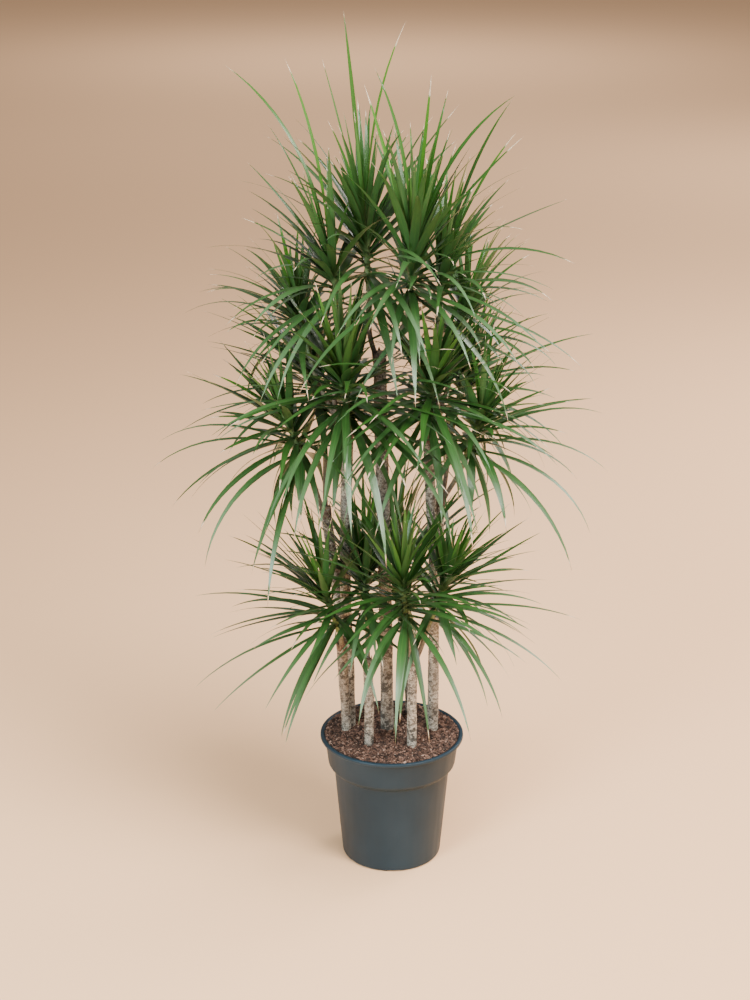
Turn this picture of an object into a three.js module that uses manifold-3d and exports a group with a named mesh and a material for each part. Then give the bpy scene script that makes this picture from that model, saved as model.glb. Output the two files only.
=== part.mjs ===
// A potted dragon tree, sold as a carousel: nine bare canes cut at three heights stand in one
// nursery pot, and from near the cut top of each cane grow thin shoots that end in a head of long,
// narrow, arching leaves.
//
// Millimetres, +Z up. The pot stands on z = 0 and turns about the Z axis, and -Y is the front.

import * as THREE from "three";
import { mergeVertices } from "three/addons/utils/BufferGeometryUtils.js";
import Module from "manifold-3d";

const wasm = await Module();
wasm.setup();

// ---------------------------------------------------------------- driving dimensions

const GAP = 0.35; // between neighbouring pieces that touch on the real plant

// The pot, thin blow-moulded plastic: a tapered body, a wider collar and a rolled lip.
const POT_HEIGHT = 290;
const POT_SIDES = 36;
const LIP_RADIUS = 157.5;
const LIP_WIDTH = 7;
const LIP_HEIGHT = 8;
const LIP_ROUNDING = 2;
const COLLAR_TOP_RADIUS = 147.5;
const COLLAR_FOOT_RADIUS = 140;
const COLLAR_HEIGHT = 70;
const STEP_HEIGHT = 10; // of the slope between body and collar
const STEP_INSIDE = 8; // the same on the inside of the wall
const BODY_TOP_RADIUS = 127.5;
const BODY_FOOT_RADIUS = 109;
const FOOT_ROUNDING = 4;
const WALL = 2.4;
const FLOOR = 3;
const SLOT_COUNT = 4;
const SLOT_WIDTH = 28;
const SLOT_HEIGHT = 3.6;
const SLOT_DEPTH = 13;
const SLOT_TURN = -88; // degrees, where the first drainage slot faces

// The potting soil, heaped a little in the middle.
const SOIL_EDGE_HEIGHT = 284;
const SOIL_HEAP = 3.5;
const SOIL_LUMPS = 1.8;
const SOIL_RINGS = [0.72, 0.38]; // shares of the soil's radius where its surface has a ring
const CANE_FOOT_HEIGHT = 226; // how far up the pot the buried feet of the canes end

// Canes and shoots.
const CANE_SIDES = 7;
const CANE_RING_SPACING = 220;
const CANE_SWELL = 0.05; // share of its radius that a cane gets thicker and thinner by
const CANE_SWELL_STEP = 2.1; // radians of that wave from one ring to the next
const BOW_START = [0.3, 0.45]; // a cane rises this much more steeply than it leans, low down
const SHOOT_SIDES = 5;
const SHOOT_RADIUS = 5.8;
const SHOOT_START_BELOW_TOP = 22;
const SHOOT_OUTWARDS = 0.55; // sideways over upwards, where a shoot leaves its cane
const SHOOT_REACH = 0.4; // share of its span that a shoot keeps its first and last directions for
const SHOOT_RING_SPACING = 75;
const CANE_STRAIGHTS = 8; // straight stretches that blades are kept clear of, along a cane
const SHOOT_STRAIGHTS = 6; // and along a shoot

// A head: a short leafy stem tip, the core, with blades set round it in a spiral.
const CORE_LENGTH = 125;
const CORE_SIDES = 5;
const CORE_RADII = [9, 14, 11, 5];
const CORE_STATIONS = [0, 0.3, 0.75, 1];
const GOLDEN_TURN = 137.508;
const CORE_LEAFY = [0.1, 0.9]; // stretch of the core that blades start from, oldest to youngest
const BLADE_START = 4; // how far from the core's middle line a blade starts
const BLADE_WIDTH = [15, 20];
const YOUNG_WIDTH = 0.55; // share of it that the youngest blades have
const YOUNG_UNTIL = 0.3; // the age from which blades have their full width
const BLADE_ROOT_WIDTH = 0.3; // share of the full width
const BLADE_ROOT_LENGTH = 0.25; // share of the length
const BLADE_WIDEST = 0.35; // where the long taper to the tip starts
const BLADE_TAPER = 1.7;
const BLADE_KEEL = 1.5;
const KEEL_TAPER = 0.4; // share of the keel that is gone at the tip
const SHORTEST_BLADE = 0.55; // share of a head's longest
const LENGTH_WAVE = [0.1, 0.7]; // stretch of half a sine wave that lengths follow with age
const BEND_GROWTH = 1.5; // how much later than evenly a blade bends along its length
const STRAY = { turn: 30, climb: 15, bend: [-12, 20], sweep: 18, roll: 20 }; // degrees off the rule
const STRAY_LENGTH = [0.62, 1.04]; // shares of the rule's length
const STANDOUT_ROLL = 50; // turns the face of an upright blade that stands out to the front
const STEEPEST_CLIMB = 85; // of a blade that stands out and starts from the core's tip
const HEAD_TURN = 77; // degrees from where one head's spiral starts to where the next one's does
const HEAD_DRAWS = 1009; // draws set aside for each head
const PATH_STEPS = 20; // short steps that a blade's centre line is worked out in
const ARCHING = 25; // degrees of bend from which a blade arches
const FEW_RINGS = [0, 7, 14, 20]; // the steps that get a ring on a nearly straight blade
const MORE_RINGS = [0, 5, 10, 15, 20]; // and on one that arches
const TRIES = 36;
const TRY_SHORTENING = 0.008; // share of the length taken off with each try
const TRY_TURN = 1.5; // degrees that a blade that stands out turns by with each try, at most
const CLEARANCE = 2.2; // least space between blades, and between blades and stems
const LIP_BERTH = [20, 12]; // space kept round the lip and over it
const GROUND_BERTH = 60;
const FINENESS = 0.2; // smallest edge kept where blades of one head meet
const THINNEST = 0.01; // height below which a triangle is too thin to face a definite way
const TURNS = 3; // rounds of turning the sides of such triangles

// How the blades of a head go from the youngest to the oldest: climb from level where they start,
// and bend towards the ground along their length, in degrees. A wane over 1 gives more young ones.
const HABITS = {
  low: { climb: [80, -20], bend: [8, 40], wane: 1.25 },
  middle: { climb: [82, -34], bend: [8, 50], wane: 1.3 },
  side: { climb: [76, -12], bend: [20, 74], wane: 1.1 },
  top: { climb: [86, -22], bend: [4, 58], wane: 1.6 },
};

// Each cane: its foot on the soil, the middle of its cut top, how far its middle bows out of the
// straight line between them, and its radius. Each of its shoots ends at the foot of a head, given
// with the way the head leans (sideways over upwards), its habit, how many blades it has and the
// length of its longest.
const shoot = (name, at, lean, habit, blades, length) => ({ name, at, lean, habit, blades, length });
const CANES = [
  {
    name: "left_short",
    foot: [-100, 17],
    top: [-109, -35, 523],
    bow: [0, 3],
    radius: 10.5,
    shoots: [shoot("low_left", [-114, -62, 561], [-0.3, -0.15], "low", 19, 304)],
  },
  {
    name: "front_left",
    foot: [-50, -55],
    top: [-53, -75, 497],
    bow: [2, 0],
    radius: 10,
    shoots: [shoot("low_middle", [-54, -42, 588], [-0.05, 0.1], "low", 24, 322)],
  },
  {
    name: "front_right",
    foot: [43, -62],
    top: [44, -85, 511],
    bow: [-1, 0],
    radius: 10,
    shoots: [
      shoot("low_front", [29, -122, 604], [-0.1, -0.25], "low", 26, 315),
      shoot("low_right", [83, -75, 598], [0.35, -0.1], "low", 20, 255),
    ],
  },
  {
    name: "back_short",
    foot: [42, 101],
    top: [40, 118, 450],
    bow: [-2, 0],
    radius: 10,
    shoots: [shoot("low_back", [14, 136, 535], [-0.1, 0.3], "low", 24, 340)],
  },
  {
    name: "left_outer",
    foot: [-98, 70],
    top: [-143, 25, 805],
    bow: [9, 0],
    radius: 11,
    shoots: [
      shoot("mid_left", [-184, -22, 930], [-0.4, -0.1], "middle", 17, 300),
      shoot("mid_left_back", [-150, 72, 992], [-0.2, 0.3], "middle", 22, 295),
    ],
  },
  {
    name: "left_inner",
    foot: [-92, 42],
    top: [-94, -20, 989],
    bow: [-8, 0],
    radius: 11.5,
    shoots: [
      shoot("mid_front_left", [-92, -44, 1022], [-0.1, -0.25], "middle", 28, 350),
      shoot("high_left", [-112, -20, 1250], [-0.12, -0.05], "top", 24, 315),
      shoot("high_left_back", [-172, 30, 1138], [-0.25, 0.15], "side", 25, 280),
    ],
  },
  {
    name: "centre_tall",
    foot: [-10, 21],
    top: [-28, 12, 1151],
    bow: [1, 0],
    radius: 13.5,
    shoots: [
      shoot("top_left", [-51, 4, 1300], [-0.05, 0.05], "top", 30, 360),
      shoot("top_right", [32, -48, 1270], [0.05, -0.1], "top", 30, 350),
    ],
  },
  {
    name: "right_inner",
    foot: [92, 17],
    top: [72, -10, 984],
    bow: [8, 2],
    radius: 10.5,
    shoots: [
      shoot("mid_front_right", [71, -36, 1016], [0.1, -0.3], "middle", 28, 350),
      shoot("high_right", [92, 4, 1236], [0.08, -0.05], "top", 24, 305),
      shoot("high_right_back", [132, 52, 1136], [0.2, 0.2], "side", 25, 258),
    ],
  },
  {
    name: "right_outer",
    foot: [90, 44],
    top: [102, 32, 828],
    bow: [-3, 6],
    radius: 10.5,
    shoots: [
      shoot("mid_right", [152, -32, 940], [0.3, -0.15], "middle", 17, 265),
      shoot("mid_right_back", [132, 82, 990], [0.25, 0.3], "middle", 22, 265),
    ],
  },
];

// Blades that stand out, by head: heading (0 is +X and -90 the front), climb at the root and bend
// towards the ground in degrees, then length and width.
const STANDOUTS = {
  low_left: [
    [195, -5, 40, 335, 14],
    [175, 20, 35, 300, 13],
    [180, 48, 30, 260, 14],
    [-120, -30, 35, 290, 15],
    [-60, -15, 60, 230, 16],
    [205, -18, 25, 320, 14],
  ],
  low_front: [
    [-95, 0, 75, 340, 19],
    [-110, 0, 80, 280, 16],
    [-65, -5, 60, 345, 16],
  ],
  low_right: [
    [-25, -5, 40, 310, 15],
    [-5, 8, 30, 310, 14],
    [-50, -20, 50, 280, 15],
    [10, 35, 10, 250, 14],
  ],
  mid_left: [
    [-130, 0, 80, 360, 16],
    [-140, -5, 70, 320, 15],
    [190, 16, 60, 320, 14],
    [170, 20, 60, 310, 13],
    [-110, -38, 45, 340, 16],
  ],
  mid_front_left: [
    [-115, -15, 65, 330, 16],
    [-90, 5, 80, 230, 15],
    [-72, -20, 65, 370, 20],
    [-45, -8, 75, 390, 19],
    [-172, 12, 28, 300, 16],
    [-20, 12, 30, 320, 20],
    [-35, 42, 40, 300, 18],
  ],
  mid_front_right: [
    [-70, -15, 70, 340, 18],
    [-125, -5, 75, 320, 16],
    [-150, 25, 40, 290, 19],
    [-140, 48, 35, 280, 18],
    [170, 62, 20, 250, 15],
  ],
  mid_right: [
    [-45, -10, 65, 360, 18],
    [-30, 2, 75, 330, 16],
    [-12, 14, 60, 300, 14],
    [5, 28, 50, 280, 13],
  ],
  mid_right_back: [
    [8, 34, 30, 310, 14],
  ],
  high_left: [
    [180, 80, 48, 440, 15],
    [178, 82, 22, 400, 14],
    [190, 74, 20, 300, 13],
    [175, 58, 15, 270, 13],
    [200, 45, 25, 230, 18],
  ],
  top_left: [
    [175, 86, 3, 420, 19],
    [190, 81, 2, 350, 13],
    [0, 89, 26, 410, 12],
    [-130, -15, 60, 360, 18],
    [-75, 0, 60, 290, 19],
    [-50, -30, 45, 330, 19],
  ],
  top_right: [
    [175, 88, 26, 360, 16],
    [165, 76, 6, 340, 15],
    [0, 85, 0, 340, 19],
    [15, 80, 5, 320, 14],
    [5, 77, 42, 370, 15],
    [0, 56, 16, 330, 14],
    [-22, 34, 12, 360, 20],
    [-50, 5, 55, 340, 18],
    [-140, -10, 50, 330, 18],
  ],
  high_right: [
    [5, 78, 26, 350, 14],
    [0, 74, 20, 300, 13],
  ],
};

// ---------------------------------------------------------------- solids and geometries

const radians = THREE.MathUtils.degToRad;
const vector = ([x, y, z]) => new THREE.Vector3(x, y, z);

function solidOf(geometry) {
  const bare = geometry.clone();
  bare.deleteAttribute("normal");
  bare.deleteAttribute("uv");
  const merged = mergeVertices(bare, 1e-4);
  return new wasm.Manifold(
    new wasm.Mesh({
      numProp: 3,
      vertProperties: merged.attributes.position.array,
      triVerts: new Uint32Array(merged.index.array),
    }),
  );
}

// A triangle's least height, and its corners with the ends of its longest side first.
function measured(corners, places) {
  const sides = corners.map((corner, i) => places[corner].distanceTo(places[corners[(i + 1) % 3]]));
  const first = sides.indexOf(Math.max(...sides));
  const [a, b, c] = [0, 1, 2].map((i) => corners[(first + i) % 3]);
  const across = places[b].clone().sub(places[a]).cross(places[c].clone().sub(places[a]));
  return { height: across.length() / sides[first], corners: [a, b, c] };
}

// Turns the longest side of each too thin triangle to join the two opposite corners instead, where
// that gives thicker ones. Such a triangle has its corners in a line, so the surface stays the same.
function turnThinTriangles(triangles, places) {
  triangles.forEach((triangle, t) => {
    const { height, corners } = measured(triangle, places);
    if (height > THINNEST) {
      return;
    }
    const [a, b, c] = corners;
    const beside = triangles.findIndex((other) =>
      other.some((corner, i) => corner === b && other[(i + 1) % 3] === a),
    );
    const far = triangles[beside].find((corner) => corner !== a && corner !== b);
    const joined = triangles.some((other) => other.includes(c) && other.includes(far));
    const pair = [
      [a, far, c],
      [far, b, c],
    ];
    if (!joined && Math.min(...pair.map((one) => measured(one, places).height)) > height) {
      [triangles[t], triangles[beside]] = pair;
    }
  });
}

function geometryOf(solid) {
  const { numProp, vertProperties, triVerts } = solid.getMesh();
  const places = [];
  for (let i = 0; i < vertProperties.length; i += numProp) {
    places.push(vector(vertProperties.subarray(i, i + 3)));
  }
  const triangles = [];
  for (let i = 0; i < triVerts.length; i += 3) {
    triangles.push([...triVerts.subarray(i, i + 3)]);
  }
  for (let turn = 0; turn < TURNS; turn++) {
    turnThinTriangles(triangles, places);
  }
  const geometry = new THREE.BufferGeometry().setFromPoints(places);
  geometry.setIndex(triangles.flat());
  geometry.computeVertexNormals();
  return geometry;
}

// Turns a profile of [radius, height] points about the Z axis.
function turned(profile, sides) {
  const points = profile.map(([radius, height]) => new THREE.Vector2(radius, height));
  return new THREE.LatheGeometry(points, sides).rotateX(Math.PI / 2);
}

// A closed skin over rings of points. Each ring runs anticlockwise seen from the far end, and a
// last ring of one point closes the skin to a tip. The sides' quads are split along one diagonal,
// and those of the last few sides along the other one.
function loft(rings, otherSides = 0) {
  const size = rings[0].length;
  const points = rings.flat();
  const faces = [];
  for (let r = 0; r + 1 < rings.length; r++) {
    const near = r * size;
    const far = near + size;
    for (let i = 0; i < size; i++) {
      const next = (i + 1) % size;
      if (rings[r + 1].length === 1) {
        faces.push(near + i, near + next, far);
      } else if (i < size - otherSides) {
        faces.push(near + i, near + next, far + next, near + i, far + next, far + i);
      } else {
        faces.push(near + i, near + next, far + i, near + next, far + next, far + i);
      }
    }
  }
  const last = points.length - size;
  for (let i = 1; i + 1 < size; i++) {
    faces.push(0, i + 1, i);
    if (rings.at(-1).length > 1) {
      faces.push(last, last + i, last + i + 1);
    }
  }
  const geometry = new THREE.BufferGeometry().setFromPoints(points);
  geometry.setIndex(faces);
  return geometry;
}

// A ring of points round a centre, square to an axis.
function roundRing(centre, axis, radius, sides) {
  const first = new THREE.Vector3(1, 0, 0);
  first.addScaledVector(axis, -first.dot(axis)).normalize();
  const second = axis.clone().cross(first);
  return Array.from({ length: sides }, (_, i) => {
    const turn = (2 * Math.PI * i) / sides;
    return centre
      .clone()
      .addScaledVector(first, radius * Math.cos(turn))
      .addScaledVector(second, radius * Math.sin(turn));
  });
}

// ---------------------------------------------------------------- pot and soil

function potProfile() {
  const top = POT_HEIGHT;
  const step = top - COLLAR_HEIGHT;
  return [
    [0, 0],
    [BODY_FOOT_RADIUS - FOOT_ROUNDING, 0],
    [BODY_FOOT_RADIUS, FOOT_ROUNDING],
    [BODY_TOP_RADIUS, step - STEP_HEIGHT],
    [COLLAR_FOOT_RADIUS, step],
    [COLLAR_TOP_RADIUS, top - LIP_HEIGHT],
    [LIP_RADIUS - LIP_ROUNDING, top - LIP_HEIGHT],
    [LIP_RADIUS, top - LIP_HEIGHT + LIP_ROUNDING],
    [LIP_RADIUS, top - LIP_ROUNDING],
    [LIP_RADIUS - LIP_ROUNDING, top],
    [LIP_RADIUS - LIP_WIDTH, top],
    [COLLAR_TOP_RADIUS - WALL, top - LIP_HEIGHT + LIP_ROUNDING],
    [COLLAR_FOOT_RADIUS - WALL, step + WALL],
    [BODY_TOP_RADIUS - WALL, step - STEP_INSIDE],
    [BODY_FOOT_RADIUS - WALL, FLOOR],
    [0, FLOOR],
  ];
}

function pot() {
  let solid = solidOf(turned(potProfile(), POT_SIDES));
  for (let i = 0; i < SLOT_COUNT; i++) {
    const slot = new THREE.BoxGeometry(2 * SLOT_DEPTH, SLOT_WIDTH, 2 * SLOT_HEIGHT);
    slot.translate(BODY_FOOT_RADIUS, 0, 0);
    slot.rotateZ(radians(SLOT_TURN + (360 * i) / SLOT_COUNT));
    solid = solid.subtract(solidOf(slot));
  }
  return solid;
}

// The soil's own radius just inside the pot's wall at a height.
function soilRadius(height) {
  const step = POT_HEIGHT - COLLAR_HEIGHT;
  const inset = WALL + 2 * GAP;
  if (height < step) {
    const share = height / (step - STEP_INSIDE);
    return BODY_FOOT_RADIUS + (BODY_TOP_RADIUS - BODY_FOOT_RADIUS) * Math.min(share, 1) - inset;
  }
  const share = Math.min((height - step - WALL) / (COLLAR_HEIGHT - WALL), 1);
  return COLLAR_FOOT_RADIUS + (COLLAR_TOP_RADIUS - COLLAR_FOOT_RADIUS) * share - inset;
}

// Height of the soil's surface: a low heap with lumps that repeat nowhere along it.
function soilHeight(x, y) {
  const out = Math.hypot(x, y) / COLLAR_TOP_RADIUS;
  const lumps = Math.sin(0.071 * x + 1.3) * Math.cos(0.083 * y) + 0.6 * Math.sin(0.19 * x - 0.17 * y);
  return SOIL_EDGE_HEIGHT + SOIL_HEAP * (1 - out * out) + SOIL_LUMPS * lumps * (1 - out ** 4);
}

function soil(canes) {
  const step = POT_HEIGHT - COLLAR_HEIGHT;
  const edge = soilRadius(SOIL_EDGE_HEIGHT);
  const sides = turned(
    [
      [0, FLOOR + GAP],
      [soilRadius(FLOOR + GAP), FLOOR + GAP],
      [soilRadius(step - STEP_INSIDE), step - STEP_INSIDE],
      [soilRadius(step + WALL), step + 2 * WALL],
      [edge, SOIL_EDGE_HEIGHT],
      ...SOIL_RINGS.map((share) => [share * edge, SOIL_EDGE_HEIGHT]),
      [0, SOIL_EDGE_HEIGHT],
    ],
    POT_SIDES,
  );
  const places = sides.getAttribute("position");
  for (let i = 0; i < places.count; i++) {
    const [x, y, z] = [places.getX(i), places.getY(i), places.getZ(i)];
    if (z > SOIL_EDGE_HEIGHT - 1 && Math.hypot(x, y) < 0.9 * edge) {
      places.setZ(i, soilHeight(x, y));
    }
  }
  let solid = solidOf(sides);
  for (const cane of canes) {
    solid = solid.subtract(caneHole(cane));
  }
  return solid;
}

// ---------------------------------------------------------------- canes and shoots

// A cane's middle line from the soil up, with its slight bow, as a curve.
function caneCurve({ foot, top, bow }) {
  const start = vector([...foot, SOIL_EDGE_HEIGHT]);
  const end = vector(top);
  const middle = start.clone().lerp(end, 0.5).add(vector([...bow, 0]));
  const [leaned, risen] = BOW_START;
  const lower = start.clone().lerp(middle, leaned).setZ(between(start.z, middle.z, risen));
  return new THREE.CatmullRomCurve3([start, lower, middle, end]);
}

function caneRings(cane) {
  const up = new THREE.Vector3(0, 0, 1);
  const curve = caneCurve(cane);
  const count = Math.round(cane.top[2] / CANE_RING_SPACING);
  const rings = [roundRing(vector([...cane.foot, CANE_FOOT_HEIGHT]), up, cane.radius, CANE_SIDES)];
  for (let i = 0; i <= count; i++) {
    const swell = i === 0 ? 0 : CANE_SWELL * Math.sin(CANE_SWELL_STEP * i + cane.foot[0]);
    const axis = i === 0 ? up : curve.getTangentAt(i / count);
    rings.push(roundRing(curve.getPointAt(i / count), axis, cane.radius * (1 + swell), CANE_SIDES));
  }
  return rings;
}

function caneHole(cane) {
  const up = new THREE.Vector3(0, 0, 1);
  const heights = [CANE_FOOT_HEIGHT - GAP, SOIL_EDGE_HEIGHT + 4 * SOIL_HEAP];
  const radius = cane.radius + 3 * GAP;
  return solidOf(loft(heights.map((z) => roundRing(vector([...cane.foot, z]), up, radius, CANE_SIDES))));
}

// A shoot leaves its cane upwards and to one side, then turns into the axis of its head.
function shootCurve(cane, shoot) {
  const curve = caneCurve(cane);
  const start = curve.getPointAt(1 - SHOOT_START_BELOW_TOP / curve.getLength());
  const end = vector(shoot.at);
  const reach = SHOOT_REACH * start.distanceTo(end);
  const away = end.clone().sub(start).setZ(0).normalize();
  const out = away.multiplyScalar(SHOOT_OUTWARDS).add(new THREE.Vector3(0, 0, 1)).normalize();
  return new THREE.CubicBezierCurve3(
    start,
    start.clone().addScaledVector(out, reach),
    end.clone().addScaledVector(headAxis(shoot), -reach),
    end,
  );
}

function caneWithShoots(cane) {
  let solid = solidOf(loft(caneRings(cane)));
  for (const shoot of cane.shoots) {
    const curve = shootCurve(cane, shoot);
    const count = Math.max(2, Math.round(curve.getLength() / SHOOT_RING_SPACING));
    const rings = [];
    for (let i = 0; i <= count; i++) {
      const share = i / count;
      const axis = i === count ? headAxis(shoot) : curve.getTangentAt(share);
      rings.push(roundRing(curve.getPointAt(share), axis, SHOOT_RADIUS, SHOOT_SIDES));
    }
    solid = solid.add(solidOf(loft(rings)));
  }
  return solid;
}

// ---------------------------------------------------------------- heads of blades

function headAxis({ lean }) {
  return vector([...lean, 1]).normalize();
}

// Five numbers from 0 to 1 that are the same on every run and fill the range evenly: each is a
// multiple of a power of one irrational number, less its whole part.
const EVEN_SPREAD = [1, 2, 3, 4, 5].map((power) => 1.1347241384015194 ** -power);
const draw = (n) => EVEN_SPREAD.map((step) => (n * step) % 1);
const between = (low, high, share) => low + (high - low) * share;

// What one blade of a head would be like on a numbered try. Old blades, at the foot of the core,
// start level and hang; young ones, at its tip, are shorter and stand.
function bladeOf(head, rank, attempt) {
  const { climb, bend, wane } = HABITS[head.habit];
  const age = 1 - rank / (head.blades - 1);
  const [a, b, c, d, e] = draw(attempt + TRIES * rank + HEAD_DRAWS * head.number);
  const turn = GOLDEN_TURN * rank + HEAD_TURN * head.number;
  const start = radians(turn + between(-STRAY.turn, STRAY.turn, a));
  const rise = radians(between(...climb, age ** wane) + between(-STRAY.climb, STRAY.climb, b));
  const direction = directionFrom(headAxis(head), start, rise);
  const share = between(SHORTEST_BLADE, 1, Math.sin(Math.PI * between(...LENGTH_WAVE, age)));
  const stray = between(...STRAY_LENGTH, (b + d) % 1) * (1 - TRY_SHORTENING * attempt);
  return {
    height: CORE_LENGTH * between(...CORE_LEAFY, 1 - age),
    climb: THREE.MathUtils.radToDeg(Math.asin(direction.z)),
    heading: THREE.MathUtils.radToDeg(Math.atan2(direction.y, direction.x)),
    bend: between(...bend, age) + between(...STRAY.bend, c),
    sweep: between(-STRAY.sweep, STRAY.sweep, d),
    roll: between(-STRAY.roll, STRAY.roll, e),
    length: head.length * share * stray,
    width: between(...BLADE_WIDTH, (a + c) % 1) * between(YOUNG_WIDTH, 1, Math.min(1, age / YOUNG_UNTIL)),
  };
}

// The same for a blade that stands out; its place on the core follows from how much it climbs.
function standoutOf(head, [heading, climb, bend, length, width], attempt) {
  const [a, b, c] = draw(attempt);
  const upright = THREE.MathUtils.clamp(climb / STEEPEST_CLIMB, 0, 1);
  return {
    height: CORE_LENGTH * between(...CORE_LEAFY, upright),
    climb: climb + attempt * between(-1, 1, b),
    heading: heading + TRY_TURN * attempt * between(-1, 1, a),
    bend: bend + attempt * between(-1, 1, c),
    sweep: 0,
    roll: STANDOUT_ROLL * upright * Math.cos(radians(heading)),
    length,
    width,
  };
}

// The direction a turn round an axis and a rise along it away.
function directionFrom(axis, turn, rise) {
  const first = new THREE.Vector3(1, 0, 0);
  first.addScaledVector(axis, -first.dot(axis)).normalize();
  const second = axis.clone().cross(first);
  return first
    .multiplyScalar(Math.cos(rise) * Math.cos(turn))
    .addScaledVector(second, Math.cos(rise) * Math.sin(turn))
    .addScaledVector(axis, Math.sin(rise));
}

// Share of a blade's full width at a share of its length: a narrow root, widest at a third, then a
// long taper to the tip.
function widthShare(along) {
  const root = between(BLADE_ROOT_WIDTH, 1, Math.min(1, along / BLADE_ROOT_LENGTH));
  const taper = 1 - Math.max(0, (along - BLADE_WIDEST) / (1 - BLADE_WIDEST)) ** BLADE_TAPER;
  return root * taper;
}

// Stations along a blade's middle line, each with the way across the blade and the way up from its
// face. The blade climbs less the further it goes, as its weight bends it.
function bladeStations(head, blade) {
  const out = new THREE.Vector3(Math.cos(radians(blade.heading)), Math.sin(radians(blade.heading)), 0);
  const place = vector(head.at)
    .addScaledVector(headAxis(head), blade.height)
    .addScaledVector(out, BLADE_START);
  const stations = [];
  for (let step = 0; step <= PATH_STEPS; step++) {
    const along = step / PATH_STEPS;
    const slope = radians(blade.climb - blade.bend * along ** BEND_GROWTH);
    const course = radians(blade.heading + blade.sweep * along * along);
    const level = new THREE.Vector3(-Math.sin(course), Math.cos(course), 0);
    const forward = new THREE.Vector3(
      Math.cos(slope) * Math.cos(course),
      Math.cos(slope) * Math.sin(course),
      Math.sin(slope),
    );
    const raised = forward.clone().cross(level);
    const roll = radians(blade.roll) * along;
    stations.push({
      along,
      place: place.clone(),
      across: level.clone().multiplyScalar(Math.cos(roll)).addScaledVector(raised, Math.sin(roll)),
      up: raised.clone().multiplyScalar(Math.cos(roll)).addScaledVector(level, -Math.sin(roll)),
      half: 0.5 * blade.width * widthShare(along),
    });
    place.addScaledVector(forward, blade.length / PATH_STEPS);
  }
  return (blade.bend < ARCHING ? FEW_RINGS : MORE_RINGS).map((step) => stations[step]);
}

// A blade with a flat face and a keel below its middle: three points to a ring, and one at the tip.
// The two sides of the keel are split the same way across the blade as the face, so that a twisted
// blade keeps its thickness.
function bladeSolid(stations) {
  const rings = stations.slice(0, -1).map(({ along, place, across, up, half }) => [
    place.clone().addScaledVector(across, half),
    place.clone().addScaledVector(across, -half),
    place.clone().addScaledVector(up, -BLADE_KEEL * (1 - KEEL_TAPER * along)),
  ]);
  return solidOf(loft([...rings, [stations.at(-1).place]], 2));
}

// ---------------------------------------------------------------- keeping blades clear

// Struts are straight stretches of blade or stem: two ends, half a width across (null for a round
// one) and half a thickness, here the radius of a round one.
function bladeStruts(head, stations) {
  return stations.slice(0, -1).map((station, i) => ({
    from: station.place,
    to: stations[i + 1].place,
    across: station.across,
    half: Math.max(station.half, stations[i + 1].half),
    thick: BLADE_KEEL,
    head: head.number,
    root: i === 0,
  }));
}

function roundStruts(points, radius, head) {
  return points.slice(0, -1).map((from, i) => ({
    from,
    to: points[i + 1],
    across: null,
    half: 0,
    thick: radius,
    head,
    root: true,
  }));
}

// The shortest way from one straight stretch to another, as a vector.
function shortestWay(p, q) {
  const u = p.to.clone().sub(p.from);
  const v = q.to.clone().sub(q.from);
  const w = p.from.clone().sub(q.from);
  const [uu, uv, vv, uw, vw] = [u.dot(u), u.dot(v), v.dot(v), u.dot(w), v.dot(w)];
  const clamp = (x) => Math.min(1, Math.max(0, x));
  const square = uu * vv - uv * uv;
  let s = square > 1e-9 ? clamp((uv * vw - vv * uw) / square) : 0.5;
  const t = clamp((uv * s + vw) / vv);
  s = clamp((uv * t - uw) / uu);
  return w.addScaledVector(u, s).addScaledVector(v, -t);
}

// How far a strut reaches from its middle line towards a direction.
function reach(strut, direction) {
  const wide = strut.across ? strut.half * Math.abs(strut.across.dot(direction)) : 0;
  return wide + strut.thick;
}

function isClear(strut, other) {
  if (strut.head === other.head && strut.root && other.root) {
    return true;
  }
  const way = shortestWay(strut, other);
  const distance = way.length();
  if (distance > strut.half + other.half + strut.thick + other.thick + CLEARANCE) {
    return true;
  }
  way.divideScalar(Math.max(distance, 1e-9));
  return distance > reach(strut, way) + reach(other, way) + CLEARANCE;
}

// Blades stay over the lip or outside it, and off the ground.
function clearsPot({ to }) {
  const [beside, above] = LIP_BERTH;
  const inside = Math.hypot(to.x, to.y) < LIP_RADIUS + beside;
  return to.z > (inside ? POT_HEIGHT + above : GROUND_BERTH);
}

// Every head's blades: first those that stand out, then a rank of all heads at a time, youngest
// first. A blade is tried a little differently until it is clear of every blade and stem before
// it, and left out if it never is.
function placeBlades(heads, stems) {
  const placed = stems.slice();
  const blades = new Map(heads.map((head) => [head, []]));
  const place = (head, bladeAt) => {
    for (let attempt = 0; attempt < TRIES; attempt++) {
      const stations = bladeStations(head, bladeAt(attempt));
      const struts = bladeStruts(head, stations);
      if (struts.every((strut) => clearsPot(strut) && placed.every((other) => isClear(strut, other)))) {
        placed.push(...struts);
        blades.get(head).push(stations);
        return;
      }
    }
  };
  for (const head of heads) {
    for (const standout of STANDOUTS[head.name] ?? []) {
      place(head, (attempt) => standoutOf(head, standout, attempt));
    }
  }
  const ranks = Math.max(...heads.map((head) => head.blades));
  for (let rank = ranks - 1; rank >= 0; rank--) {
    for (const head of heads.filter((one) => rank < one.blades)) {
      place(head, (attempt) => bladeOf(head, rank, attempt));
    }
  }
  return blades;
}

function coreSolid(head) {
  const axis = headAxis(head);
  const start = vector(head.at).addScaledVector(axis, GAP);
  const rings = CORE_STATIONS.map((share, i) =>
    roundRing(start.clone().addScaledVector(axis, CORE_LENGTH * share), axis, CORE_RADII[i], CORE_SIDES),
  );
  return solidOf(loft(rings));
}

function headSolid(head, blades) {
  const whole = blades.reduce((solid, stations) => solid.add(bladeSolid(stations)), coreSolid(head));
  return whole.asOriginal().simplify(FINENESS);
}

// ---------------------------------------------------------------- the whole plant

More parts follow.
